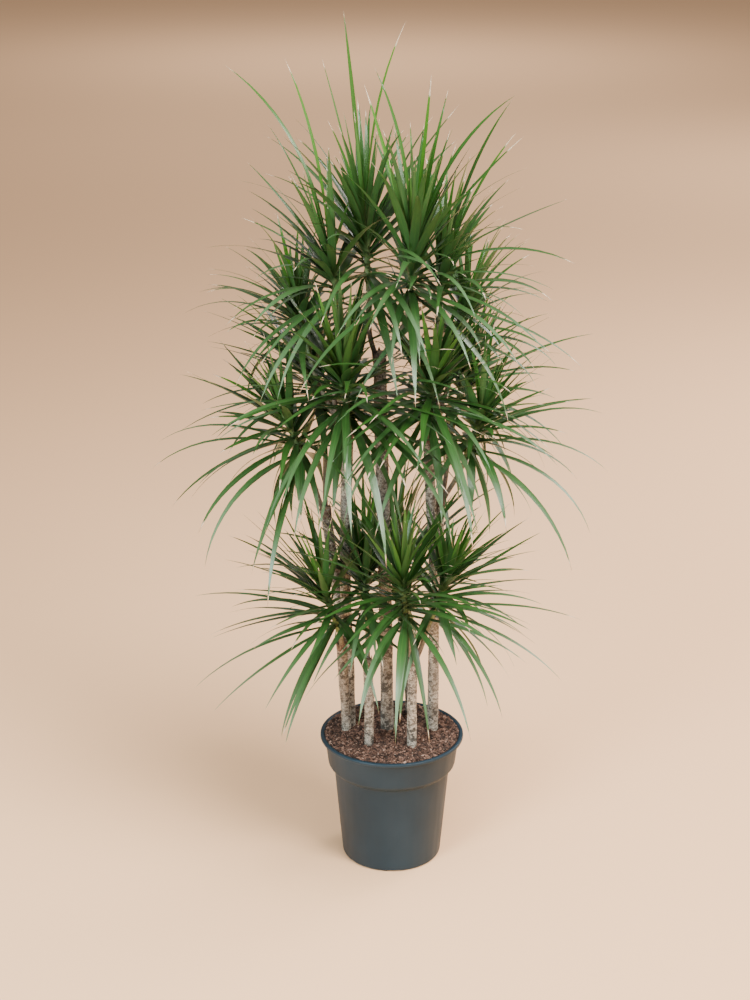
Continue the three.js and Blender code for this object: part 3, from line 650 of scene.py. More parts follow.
for chip_name, (seed, count, *sizes, rise, tints) in LOOSE_BARK.items():
    points, faces, tint = scatter(seed, count, sizes, rise, tints)
    chips = piece_of(chip_name, points * MM, faces, earth, smooth=False)
    store(chips, "tint", tint)
    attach(chips, "root")


# ---------------------------------------------------------------- the canes, their bark
# Pale grey-cream bark with a net of old leaf scars and dark blotches, darker on the tall centre
# cane. Each cane ends in a sawn top inside a torn papery sleeve, and its shoots are thin and brown.

CANE_SIDES = 40
CANE_STEP = 2.4  # between rings along a cane
SHOOT_SIDES = 20
SHOOT_STEP = 2.0
SHOOT_FEWEST_RINGS = 12
SHOOT_SLIMNESS = 0.86  # of the solids' shoots
BURIED_UNTIL = 12  # below the soil's edge, where a cane's buried foot ends
SCAR_TURN = 1.7  # from the pattern of one cane to the next, times the number of its first head
CANE_SCARS = (7.0, 0.08)  # from one row of scars to the next, and how far the bark stands out
SHOOT_SCARS = (5.0, 0.06)
SLEEVE_BELOW = 20  # the cane's top, where its sleeve starts
SLEEVE_RISE = 27
SLEEVE_SIDES = 48
SLEEVE_ROWS = 7
SLEEVE_SKIN = 0.55
SLEEVE_GAP = 0.4  # between the bark and the sleeve's foot
SLEEVE_FLARE = 2.4
SLEEVE_CRUMPLE = 0.35
SHOOT_YOUTH = (0.1, 1)  # from a shoot's start to its end, where a cane's own is 0
DARKNESS = {"centre_tall": 0.8}
PALE_DARKNESS = 0.1  # of the other canes
CREAM = (0.61, 0.545, 0.435)
STONE = (0.315, 0.28, 0.23)
SCAR_BROWN = (0.11, 0.088, 0.068)
BLOTCH = (0.040, 0.036, 0.030)
SHOOT_COLOURS = [
    (0.08, (0.105, 0.075, 0.056)),
    (0.40, (0.18, 0.145, 0.110)),
    (0.80, (0.20, 0.19, 0.115)),
    (1.00, (0.12, 0.17, 0.060)),
]
SLEEVE_COLOURS = [
    (0.30, (0.040, 0.024, 0.018)),
    (0.55, (0.135, 0.088, 0.068)),
    (0.80, (0.34, 0.26, 0.20)),
]
SAWN_COLOURS = [(0.3, (0.20, 0.12, 0.08)), (0.7, (0.36, 0.25, 0.16))]


def carried(line, radii, sides):
    """A tube: rings of radius r(i, a) square to a line of stations i, at angles a. The ring's first
    direction is carried along the line by taking out of it whatever points along the tangent at
    each station. Returns the points by ring."""
    tangent = unit(np.gradient(line, axis=0))
    first = np.array([1.0, 0, 0])
    across = []
    for way in tangent:
        first = unit(first - way * (first @ way))
        across.append(first)
    across = np.array(across)
    second = np.cross(tangent, across)
    angle = np.linspace(0, 2 * np.pi, sides, endpoint=False)[None, :, None]
    ways = across[:, None] * np.cos(angle) + second[:, None] * np.sin(angle)
    return line[:, None] + radii[..., None] * ways


def tube_faces(rings, sides, first=0):
    """The faces of a tube whose points start at a number: its quads, and one face on each end."""
    start = list(range(first, first + sides))[::-1]
    end = list(range(first + (rings - 1) * sides, first + rings * sides))
    return (ring_quads(rings, sides) + first).tolist() + [start, end]


def scarred(run, angle, row, depth, phase):
    """Radius share at a run along a stem and an angle round it: slow swellings, and a net of
    ridges between old leaf scars. The ridges follow the lines where one of two waves, which climb
    round the stem in opposite directions, is zero."""
    run, angle = run[:, None], angle[None]
    slow = 0.035 * np.sin(run / 37 + phase) + 0.02 * np.sin(run / 13 + 2 * angle)
    climb = np.pi * run / row
    net = np.abs(np.cos(2 * angle + climb + phase) * np.cos(3 * angle - climb))
    return 1 + slow + depth * (1 - net) ** 3


def square_to(axis):
    """Two directions square to an axis and to each other, the first as near to +X as it can be."""
    first = unit(np.array([1.0, 0, 0]) - axis * axis[0])
    return first, np.cross(axis, first)


def sleeve(line, radius, phase):
    """A torn papery sleeve round the start of a line: a cuff that flares a little and whose rim
    goes up and down as sums of sines round it. Its skin goes up outside and comes down inside."""
    angle = np.linspace(0, 2 * np.pi, SLEEVE_SIDES, endpoint=False)
    torn = 0.5 + 0.27 * np.sin(5 * angle + phase) + 0.23 * np.sin(13 * angle + 3 * phase)
    rising = np.linspace(0, 1, SLEEVE_ROWS)
    height = np.concatenate([rising, rising[::-1]])[:, None]
    skin = np.repeat([SLEEVE_SKIN, 0.0], SLEEVE_ROWS)[:, None]
    reach = height * SLEEVE_RISE * (0.45 + 0.55 * torn)
    crumple = SLEEVE_CRUMPLE * np.sin(7 * angle + 9 * height + phase)
    flare = SLEEVE_FLARE * height**2 * torn
    spread = radius + SLEEVE_GAP + skin + crumple * height + flare
    axis = unit(line[1] - line[0])
    first, second = square_to(axis)
    ways = first * np.cos(angle)[:, None] + second * np.sin(angle)[:, None]
    points = line[0] + axis * reach[..., None] + spread[..., None] * ways
    return points.reshape(-1, 3), ring_quads(2 * SLEEVE_ROWS, SLEEVE_SIDES, True)


bark, tree, shader = finish_of("scarred_bark", 0.85)
squat = here(tree, (1.0, 1.0, 1.2))
broad = clouds(tree, here(tree), 26.0, 2.0)
mottle = clouds(tree, squat, 150.0, 5.0, 0.65)
patches = clouds(tree, squat, 62.0, 4.0, 0.6)
cells = node(
    tree, "ShaderNodeTexVoronoi", {"feature": "DISTANCE_TO_EDGE"}, Vector=squat, Scale=190.0
).outputs["Distance"]
dark = kept(tree, "dark")
ground = blended(tree, eased(tree, broad, 0.35, 0.65), CREAM, STONE)
ground = blended(tree, dark, ground, STONE)
netted = blended(tree, eased(tree, cells, 0.16, 0.02, 0.0, 0.55), ground, SCAR_BROWN)
speckled = blended(tree, eased(tree, mottle, 0.48, 0.56, 0.0, 0.9), netted, SCAR_BROWN)
level = worked(tree, "ADD", patches, worked(tree, "MULTIPLY", dark, 0.05))
blotched = blended(tree, eased(tree, level, 0.54, 0.60, 0.0, 0.85), speckled, BLOTCH)
young = kept(tree, "young")
stem = ramp(tree, young, SHOOT_COLOURS)
stem = blended(tree, eased(tree, mottle, 0.45, 0.65, 0.0, 0.6), stem, BLOTCH)
either = blended(tree, eased(tree, young, 0.02, 0.08), blotched, stem)
plug(tree, shader.inputs["Base Color"], either)
relief = worked(tree, "SUBTRACT", cells, worked(tree, "MULTIPLY", mottle, 0.5))
bumped(tree, shader, relief, 0.6, 0.0010)

sawn, tree, shader = finish_of("sawn_top", 0.7)
grain = clouds(tree, here(tree), 160.0, 4.0)
plug(tree, shader.inputs["Base Color"], ramp(tree, grain, SAWN_COLOURS))

papery, tree, shader = finish_of("papery_sleeve", 0.8)
fibres = clouds(tree, here(tree, (1.0, 1.0, 0.35)), 300.0, 4.0)
plug(tree, shader.inputs["Base Color"], ramp(tree, fibres, SLEEVE_COLOURS))
bumped(tree, shader, fibres, 0.5, 0.0006)

for cane_name, (foot, _, _, radius, head_names) in CANES.items():
    trunk = cane_curve(cane_name)
    length = curve_length(trunk)
    phase = SCAR_TURN * HEAD_NUMBERS[head_names[0]]
    buried = [[*foot, z] for z in (CANE_FOOT_HEIGHT, SOIL_EDGE_HEIGHT - BURIED_UNTIL)]
    line = np.vstack([buried, even_points(trunk, np.linspace(0, 1, int(length / CANE_STEP)))])
    angle = np.linspace(0, 2 * np.pi, CANE_SIDES, endpoint=False)
    radii = radius * scarred(run_along(line), angle, *CANE_SCARS, phase)
    points = [carried(line, radii, CANE_SIDES).reshape(-1, 3)]
    faces = tube_faces(len(line), CANE_SIDES)
    finishes = [0] * (len(faces) - 1) + [1]  # bark, and the sawn top
    youth = [np.zeros(len(points[0]))]
    for head_name in head_names:
        curve = shoot_curve(cane_name, head_name)
        steps = max(SHOOT_FEWEST_RINGS, int(curve_length(curve) / SHOOT_STEP))
        stem_line = even_points(curve, np.linspace(0, 1, steps))
        stem_run = np.linspace(0, curve_length(curve), steps)
        angle = np.linspace(0, 2 * np.pi, SHOOT_SIDES, endpoint=False)
        radii = SHOOT_SLIMNESS * SHOOT_RADIUS * scarred(stem_run, angle, *SHOOT_SCARS, phase)
        faces += tube_faces(steps, SHOOT_SIDES, sum(map(len, points)))
        finishes += [0] * (len(faces) - len(finishes))
        points.append(carried(stem_line, radii, SHOOT_SIDES).reshape(-1, 3))
        youth.append(np.repeat(np.linspace(*SHOOT_YOUTH, steps), SHOOT_SIDES))
    cuff, cuff_faces = sleeve(even_points(trunk, [1 - SLEEVE_BELOW / length, 1]), radius, phase)
    faces += (cuff_faces + sum(map(len, points))).tolist()
    finishes += [2] * len(cuff_faces)  # the sleeve
    points.append(cuff)
    youth.append(np.zeros(len(cuff)))
    cane = piece_of(f"bark_{cane_name}", np.concatenate(points) * MM, faces, bark)
    cane.data.materials.append(sawn)
    cane.data.materials.append(papery)
    cane.data.polygons.foreach_set("material_index", finishes)
    store(cane, "young", np.concatenate(youth))
    darkness = DARKNESS.get(cane_name, PALE_DARKNESS)
    store(cane, "dark", np.full(len(cane.data.vertices), darkness))
    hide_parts(f"cane_{cane_name}")
    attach(cane, "root")


# ---------------------------------------------------------------- the leaves, how they grow
# Each head is a short leafy tip with blades set round it in a spiral. Old ones, at its foot, start
# level and hang; young ones, at its end, are short and stand. A blade keeps clear of the others.

CORE_LENGTH = 125
CORE_LEAFY = (0.1, 0.9)
CORE_RADIUS = 14  # the widest of the leafy tip, with the feet of the blades round it
GOLDEN_TURN = 137.508
BLADE_START = 4
BLADE_WIDTH = (15, 20)
YOUNG_WIDTH = 0.55  # share of it that the youngest blades have
YOUNG_UNTIL = 0.3  # the age from which blades have their full width
BLADE_ROOT_WIDTH = 0.3
BLADE_ROOT_LENGTH = 0.25
BLADE_WIDEST = 0.35
BLADE_TAPER = 1.7
BLADE_KEEL = 1.5
BEND_GROWTH = 1.5
STRAY_TURN = 30
STRAY_CLIMB = 15
STRAY_BEND = (-12, 20)
STRAY_SWEEP = 18
STRAY_ROLL = 20
STRAY_LENGTH = (0.62, 1.04)
SHORTEST_BLADE = 0.55  # share of a head's longest
LENGTH_WAVE = (0.1, 0.7)  # stretch of half a sine wave that lengths follow with age
STANDOUT_ROLL = 50
STEEPEST_CLIMB = 85  # degrees, at which a blade that stands out grows at the end of its tip
PATH_STEPS = 20
ARCHING = 25  # the bend from which a blade takes more rings
FEW_RINGS = [0, 7, 14, 20]
MORE_RINGS = [0, 5, 10, 15, 20]
CANE_STOPS = 9  # points on a cane, for the blades to keep clear of
SHOOT_STOPS = 7
TRIES = 36
TRY_SHORTENING = 0.008  # share of its length that a blade loses with each try
TRY_TURN = 1.5  # degrees that a blade that stands out may turn with each try
HEAD_DRAWS = 1009  # from the first draw of one head to that of the next
HEAD_TURN = 77  # degrees, from where one head's spiral starts to where the next one's does
CLEARANCE = 2.2
NEARBY = 260  # beyond a blade's own reach, within which other stretches are looked at
LIP_BERTH = (20, 12)  # beside the lip and above it
GROUND_BERTH = 60

# climb and bend from the youngest blade to the oldest, and wane: over 1 gives more young ones
HABITS = {
    "low": ((80, -20), (8, 40), 1.25),
    "middle": ((82, -34), (8, 50), 1.3),
    "side": ((76, -12), (20, 74), 1.1),
    "top": ((86, -22), (4, 58), 1.6),
}

# heading, climb at the root, bend, length and width of the blades that stand out
STANDOUTS = {
    "low_left": [
        (195, -5, 40, 335, 14), (175, 20, 35, 300, 13), (180, 48, 30, 260, 14),
        (-120, -30, 35, 290, 15), (-60, -15, 60, 230, 16), (205, -18, 25, 320, 14),
    ],
    "low_front": [(-95, 0, 75, 340, 19), (-110, 0, 80, 280, 16), (-65, -5, 60, 345, 16)],
    "low_right": [
        (-25, -5, 40, 310, 15), (-5, 8, 30, 310, 14), (-50, -20, 50, 280, 15),
        (10, 35, 10, 250, 14),
    ],
    "mid_left": [
        (-130, 0, 80, 360, 16), (-140, -5, 70, 320, 15), (190, 16, 60, 320, 14),
        (170, 20, 60, 310, 13), (-110, -38, 45, 340, 16),
    ],
    "mid_front_left": [
        (-115, -15, 65, 330, 16), (-90, 5, 80, 230, 15), (-72, -20, 65, 370, 20),
        (-45, -8, 75, 390, 19), (-172, 12, 28, 300, 16), (-20, 12, 30, 320, 20),
        (-35, 42, 40, 300, 18),
    ],
    "mid_front_right": [
        (-70, -15, 70, 340, 18), (-125, -5, 75, 320, 16), (-150, 25, 40, 290, 19),
        (-140, 48, 35, 280, 18), (170, 62, 20, 250, 15),
    ],
    "mid_right": [
        (-45, -10, 65, 360, 18), (-30, 2, 75, 330, 16), (-12, 14, 60, 300, 14),
        (5, 28, 50, 280, 13),
    ],
    "mid_right_back": [(8, 34, 30, 310, 14)],
    "high_left": [
        (180, 80, 48, 440, 15), (178, 82, 22, 400, 14), (190, 74, 20, 300, 13),
        (175, 58, 15, 270, 13), (200, 45, 25, 230, 18),
    ],
    "top_left": [
        (175, 86, 3, 420, 19), (190, 81, 2, 350, 13), (0, 89, 26, 410, 12),
        (-130, -15, 60, 360, 18), (-75, 0, 60, 290, 19), (-50, -30, 45, 330, 19),
    ],
    "top_right": [
        (175, 88, 26, 360, 16), (165, 76, 6, 340, 15), (0, 85, 0, 340, 19),
        (15, 80, 5, 320, 14), (5, 77, 42, 370, 15), (0, 56, 16, 330, 14),
        (-22, 34, 12, 360, 20), (-50, 5, 55, 340, 18), (-140, -10, 50, 330, 18),
    ],
    "high_right": [(5, 78, 26, 350, 14), (0, 74, 20, 300, 13)],
}
SPREAD_ROOT = 1.1347241384015194  # its sixth power is one more than itself
EVEN_SPREAD = SPREAD_ROOT ** -np.arange(1.0, 6.0)


def draw(n):
    """Five numbers from 0 to 1 that fill the range evenly: multiples of the powers of one
    irrational number, less their whole parts."""
    return (n * EVEN_SPREAD) % 1


def direction_from(axis, turn, rise):
    """The direction a turn round an axis and a rise along it away."""
    first, second = square_to(axis)
    level = first * (math.cos(rise) * math.cos(turn)) + second * (math.cos(rise) * math.sin(turn))
    return level + axis * math.sin(rise)


def blade_of(head_name, rank, attempt, series=0):
    """What one blade of a head would be like on a numbered try: its angles in degrees, and its
    age from 0 for the youngest to 1 for the oldest. Its rank counts from the oldest, as its age
    falls, and five even draws make it stray."""
    _, _, habit, blade_count, longest = HEADS[head_name]
    climb, bend, wane = HABITS[habit]
    age = 1 - rank / (blade_count - 1)
    number = HEAD_NUMBERS[head_name]
    a, b, c, d, e = draw(attempt + TRIES * rank + HEAD_DRAWS * number + series)
    turn = GOLDEN_TURN * rank + HEAD_TURN * number + between(-STRAY_TURN, STRAY_TURN, a)
    rise = between(*climb, max(age, 0) ** wane) + between(-STRAY_CLIMB, STRAY_CLIMB, b)
    direction = direction_from(head_axis(head_name), math.radians(turn), math.radians(rise))
    grown = between(SHORTEST_BLADE, 1, math.sin(math.pi * between(*LENGTH_WAVE, age)))
    reach = between(*STRAY_LENGTH, (b + d) % 1) * (1 - TRY_SHORTENING * attempt)
    fullness = between(YOUNG_WIDTH, 1, min(1, age / YOUNG_UNTIL))
    return {
        "age": age,
        "height": CORE_LENGTH * between(*CORE_LEAFY, 1 - age),
        "climb": math.degrees(math.asin(direction[2])),
        "heading": math.degrees(math.atan2(direction[1], direction[0])),
        "bend": between(*bend, age) + between(*STRAY_BEND, c),
        "sweep": between(-STRAY_SWEEP, STRAY_SWEEP, d),
        "roll": between(-STRAY_ROLL, STRAY_ROLL, e),
        "length": longest * grown * reach,
        "width": between(*BLADE_WIDTH, (a + c) % 1) * fullness,
    }


def standout_of(standout, attempt):
    """The same for a blade that stands out; its place on the tip follows from how much it climbs."""
    heading, climb, bend, length, width = standout
    a, b, c, _, _ = draw(attempt)
    up = min(1, max(0, climb / STEEPEST_CLIMB))
    return {
        "age": 1 - up,
        "height": CORE_LENGTH * between(*CORE_LEAFY, up),
        "climb": climb + attempt * between(-1, 1, b),
        "heading": heading + TRY_TURN * attempt * between(-1, 1, a),
        "bend": bend + attempt * between(-1, 1, c),
        "sweep": 0,
        "roll": STANDOUT_ROLL * up * math.cos(math.radians(heading)),
        "length": length,
        "width": width,
    }


def blade_lines(head_name, blade):
    """A blade's middle line and, along it, the ways across the blade and up from its face. It goes
    ahead in equal steps whose slope is its climb less bend s^1.5 and whose course is its heading
    plus sweep s^2, where s runs from 0 at the root to 1 at the tip."""
    s = np.arange(PATH_STEPS + 1) / PATH_STEPS
    slope = np.radians(blade["climb"] - blade["bend"] * s**BEND_GROWTH)
    course = np.radians(blade["heading"] + blade["sweep"] * s * s)
    level = np.stack([-np.sin(course), np.cos(course), 0 * s], axis=1)
    forth = np.cos(slope)
    ahead = np.stack([forth * np.cos(course), forth * np.sin(course), np.sin(slope)], axis=1)
    raised = np.cross(ahead, level)
    roll = (np.radians(blade["roll"]) * s)[:, None]
    heading = math.radians(blade["heading"])
    root = np.array(HEADS[head_name][0], float) + head_axis(head_name) * blade["height"]
    root = root + BLADE_START * np.array([math.cos(heading), math.sin(heading), 0])
    steps = ahead[:-1] * blade["length"] / PATH_STEPS
    return {
        **blade,
        "line": np.vstack([root, root + np.cumsum(steps, axis=0)]),
        "across": level * np.cos(roll) + raised * np.sin(roll),
        "up": raised * np.cos(roll) - level * np.sin(roll),
    }


def width_share(s):
    """Share of full width: a narrow root, widest at a third, then a long taper to the tip."""
    root = between(BLADE_ROOT_WIDTH, 1, np.minimum(1, s / BLADE_ROOT_LENGTH))
    return root * (1 - np.maximum(0, (s - BLADE_WIDEST) / (1 - BLADE_WIDEST)) ** BLADE_TAPER)


def struts_of(head_name, blade):
    """A blade as a few straight stretches: ends, way across, half width, half thickness, the head's
    number, and whether it is the root stretch, which may touch its neighbours' roots."""
    rings = np.array(FEW_RINGS if blade["bend"] < ARCHING else MORE_RINGS)
    half = 0.5 * blade["width"] * width_share(rings / PATH_STEPS)
    ends = blade["line"][rings]
    count = len(rings) - 1
    return {
        "from": ends[:-1],
        "to": ends[1:],
        "across": blade["across"][rings[:-1]],
        "half": np.maximum(half[:-1], half[1:]),
        "thick": np.full(count, BLADE_KEEL),
        "head": np.full(count, HEAD_NUMBERS[head_name]),
        "root": np.arange(count) == 0,
    }


def round_struts(line, radius, head):
    """Straight stretches of a round stem, all counted as root stretches of their head."""
    count = len(line) - 1
    return {
        "from": line[:-1],
        "to": line[1:],
        "across": np.zeros((count, 3)),
        "half": np.zeros(count),
        "thick": np.full(count, float(radius)),
        "head": np.full(count, head),
        "root": np.ones(count, bool),
    }


class Placed:
    """All the stretches placed so far, in one growing table."""

    def __init__(self):
        self.rows = {}

    def add(self, struts):
        """Puts stretches at the end of the table."""
        for key, values in struts.items():
            self.rows[key] = np.concatenate([self.rows[key], values]) if key in self.rows else values

    def clear_of(self, struts, clearance):
        """Whether every new stretch is clear of every placed one: the shortest way between the two
        straight lines, each parameter clamped to its stretch in turn, is longer than both reach
        along it, plus a clearance."""
        old = self.rows
        middle = (struts["from"] + struts["to"]).mean(axis=0) / 2
        span = sum(np.linalg.norm(end - middle) for end in (struts["to"][-1], struts["from"][0]))
        near = np.linalg.norm((old["from"] + old["to"]) / 2 - middle, axis=1) < span + NEARBY
        old = {key: values[near] for key, values in old.items()}
        u = (struts["to"] - struts["from"])[:, None]
        v = (old["to"] - old["from"])[None]
        w = struts["from"][:, None] - old["from"][None]
        uu, uv, vv = (u * u).sum(-1), (u * v).sum(-1), (v * v).sum(-1)
        uw, vw = (u * w).sum(-1), (v * w).sum(-1)
        square = uu * vv - uv * uv
        s = np.clip((uv * vw - vv * uw) / np.maximum(square, 1e-9), 0, 1)
        s = np.where(square > 1e-9, s, 0.5)
        t = np.clip((uv * s + vw) / vv, 0, 1)
        s = np.clip((uv * t - uw) / uu, 0, 1)
        way = w + u * s[..., None] - v * t[..., None]
        distance = np.linalg.norm(way, axis=-1)
        way = way / np.maximum(distance, 1e-9)[..., None]
        mine = struts["half"][:, None] * np.abs((struts["across"][:, None] * way).sum(-1))
        theirs = old["half"][None] * np.abs((old["across"][None] * way).sum(-1))
        reach = mine + theirs + struts["thick"][:, None] + old["thick"][None]
        roots = struts["root"][:, None] & old["root"][None]
        same = (struts["head"][:, None] == old["head"][None]) & roots
        return bool(np.all(same | (distance > reach + clearance)))


def clears_pot(struts):
    """Blades stay over the lip or outside it, and off the ground."""
    beside, above = LIP_BERTH
    inside = np.hypot(struts["to"][:, 0], struts["to"][:, 1]) < LIP_RADIUS + beside
    return bool(np.all(struts["to"][:, 2] > np.where(inside, POT_HEIGHT + above, GROUND_BERTH)))


placed = Placed()
for cane_name, (_, _, _, radius, head_names) in CANES.items():
    trunk = even_points(cane_curve(cane_name), np.linspace(0, 1, CANE_STOPS))
    placed.add(round_struts(trunk, radius, 0))
    for head_name in head_names:
        stem = even_points(shoot_curve(cane_name, head_name), np.linspace(0, 1, SHOOT_STOPS))
        placed.add(round_struts(stem, SHOOT_RADIUS, HEAD_NUMBERS[head_name]))
for head_name, (at, *_) in HEADS.items():
    tip = np.array(at, float) + head_axis(head_name) * CORE_LENGTH
    placed.add(round_struts(np.array([at, tip], float), CORE_RADIUS, HEAD_NUMBERS[head_name]))

blades = {head_name: [] for head_name in HEADS}


def try_blade(head_name, blade_at, tries=TRIES, clearance=CLEARANCE, fits=lambda blade: True):
    """Keeps the first try of a blade that fits and is clear of everything before it."""
    for attempt in range(tries):
        blade = blade_lines(head_name, blade_at(attempt))
        struts = struts_of(head_name, blade)
        if fits(blade) and clears_pot(struts) and placed.clear_of(struts, clearance):
            placed.add(struts)
            blades[head_name].append(blade)
            return


for head_name in HEADS:
    for standout in STANDOUTS.get(head_name, []):
        try_blade(head_name, lambda attempt: standout_of(standout, attempt))
most_blades = max(blade_count for *_, blade_count, _ in HEADS.values())
for rank in reversed(range(most_blades)):
    for head_name, (*_, blade_count, _) in HEADS.items():
        if rank < blade_count:
            try_blade(head_name, lambda attempt: blade_of(head_name, rank, attempt))


# ---------------------------------------------------------------- the leaves, more of them
# The heads of the real plant are more than twice as full. More blades grow by the same rule among
# the first ones, and may come closer to them, as they are thinner than the stretches they keep off.

MORE_BLADES = {"low": 2.1, "middle": 2.6, "side": 1.9, "top": 1.7}  # for each of the head's own
MORE_YOUNG = {"low": 1.5, "middle": 1.0, "side": 0.9, "top": 0.9}  # over 1 gives more young ones
MORE_ROUNDS = 71  # in which each head gets one more blade, if it takes that many
MORE_CLEARANCE = -2.4
MORE_TRIES = 20
MORE_DRAWS = 500009  # from the draws of the first blades to those of these
BOX_ROOM = 4.0

# heading, climb at the root, bend, length and width of more blades that stand out, most of them
# hanging in front of the canes
MORE_STANDOUTS = {
    "top_left": [
        (-95, -20, 60, 330, 20), (-70, -35, 35, 300, 19), (-150, 5, 60, 260, 16),
        (-30, -20, 55, 330, 18),
    ],
    "top_right": [
        (-80, 20, 85, 340, 15), (-30, -15, 45, 340, 19), (-100, -25, 50, 300, 19),
        (-160, -10, 50, 300, 17),
    ],
    "high_left": [(-60, -15, 50, 320, 18), (-100, -20, 50, 300, 18), (-140, -5, 60, 300, 17)],
    "high_right": [(-20, -5, 40, 330, 19), (-120, -20, 50, 300, 18), (-80, -25, 50, 300, 18)],
    "mid_front_left": [(0, 10, 40, 320, 19), (-30, 30, 60, 300, 18), (-150, 10, 50, 300, 17)],
    "mid_front_right": [(180, 5, 35, 330, 19), (-160, 35, 60, 280, 18), (-20, 10, 50, 310, 18)],
}

box_low, box_high = (np.array(corner) / MM for corner in solid_box)


def inside_box(blade):
    """Whether a blade stays inside the box of the solids, with some room for its width."""
    line = blade["line"]
    return bool(np.all(line > box_low + BOX_ROOM) and np.all(line < box_high - BOX_ROOM))


def try_more(head_name, blade_at, tries):
    """The same for a blade that grows among the first ones, inside the box."""
    try_blade(head_name, blade_at, tries, MORE_CLEARANCE, inside_box)


for head_name, standouts in MORE_STANDOUTS.items():
    for standout in standouts:
        try_more(head_name, lambda attempt: standout_of(standout, attempt), TRIES)
for step in reversed(range(MORE_ROUNDS)):
    for head_name, (_, _, habit, blade_count, _) in HEADS.items():
        more = int(blade_count * MORE_BLADES[habit])
        if step < more:
            rank = (blade_count - 1) * (1 - (1 - (step + 0.5) / more) ** MORE_YOUNG[habit])
            try_more(head_name, lambda attempt: blade_of(head_name, rank, attempt, MORE_DRAWS), MORE_TRIES)


# ---------------------------------------------------------------- the leaves, their blades
# A leathery strap with a clasping foot round the stem, a shallow channel, a fine taper and a dry
# point. Young ones are yellow-green, old ones deep green with a paler painted sheen where they hang,
# and all have a thin wine-red margin.

# shares of a leaf's length at which the rings of its foot and of its blade lie
FOOT_STATIONS = [0.0, 0.02]
STATIONS = [0.05, 0.1, 0.17, 0.25, 0.33, 0.42, 0.51, 0.6, 0.69, 0.77, 0.85, 0.93, 1.0]
FOOT_RINGS = ((13, 0.4), (1.5, 0.9))  # how far below its blade and off the stem a foot's rings lie
FOOT_FACING = (0.8, 0.6)  # how much its second ring faces as the blade does, and the stem
STEM_RADII = (5.6, 3.2)  # of the leafy tip, at its foot and its end
STEM_RUN = (-2, 112.5)  # along the head's axis
STEM_RINGS = 22
STEM_NUMBERS = {"along": 0.04, "across": 0.4, "side": 0.5, "age": 0.3, "tint": 0.5}
BLADE_THICKNESS = 0.8
TIP_THINNING = 0.6  # share of the thickness that is lost towards the tip
NECK = (0.08, 0.58)  # share of the length at which a leaf is narrowest above its foot, and its width
SWELLING = (0.24, 0.8)  # share of the length over which it widens again, and how slowly at first
LEAF_WIDEST = 0.3
LEAF_TAPER = 1.3
TINT_SPREAD = (7.3, 0.37)  # how fast the tint runs through its range with length and heading
BLADE_FULLNESS = {"low": 1.0, "middle": 1.1, "side": 1.05, "top": 1.08}  # widths over the solids'
CHANNEL = ((0.0, 50), (0.06, 38), (0.2, 17), (0.5, 9), (1.0, 4))  # share of length, and its fold
FLESH = [  # by age; the oldest stop is lighter and greyer, as painted sheen on the old hanging blades
    (0.00, (0.058, 0.200, 0.010)),
    (0.08, (0.028, 0.115, 0.006)),
    (0.25, (0.015, 0.070, 0.005)),
    (0.60, (0.015, 0.058, 0.008)),
    (1.00, (0.026, 0.080, 0.018)),
]
VEIN_GREEN = (0.050, 0.132, 0.026)
RIB_GREEN = (0.058, 0.148, 0.024)
UNDER_GREEN = (0.062, 0.135, 0.048)
# a pale grey-green painted sheen, laid on the hanging ends of old blades
PAINTED_SHEEN_GREEN = (0.150, 0.235, 0.140)
MARGIN_RED = (0.060, 0.018, 0.020)
FOOT_GREEN = (0.200, 0.270, 0.110)
DRY_TAN = (0.560, 0.430, 0.290)
DRY_FROM = (0.86, 0.13)  # share of the length from which a blade is dry, and how much it varies


def stem_radius(height):
    """The leafy tip's radius at a height above its foot."""
    return between(*STEM_RADII, np.clip(height / CORE_LENGTH, 0, 1))


def leaf_share(s):
    """Share of a leaf's full width: broad at the clasping foot, narrower above it, full at a third,
    and tapering to its point."""
    neck, narrowest = NECK
    swelling, slowness = SWELLING
    foot = between(1, narrowest, np.minimum(1, s / neck))
    body = between(narrowest, 1, np.clip((s - neck) / swelling, 0, 1) ** slowness)
    taper = np.maximum(0, (s - LEAF_WIDEST) / (1 - LEAF_WIDEST)) ** LEAF_TAPER
    return np.where(s < neck, foot, body) * (1 - taper)


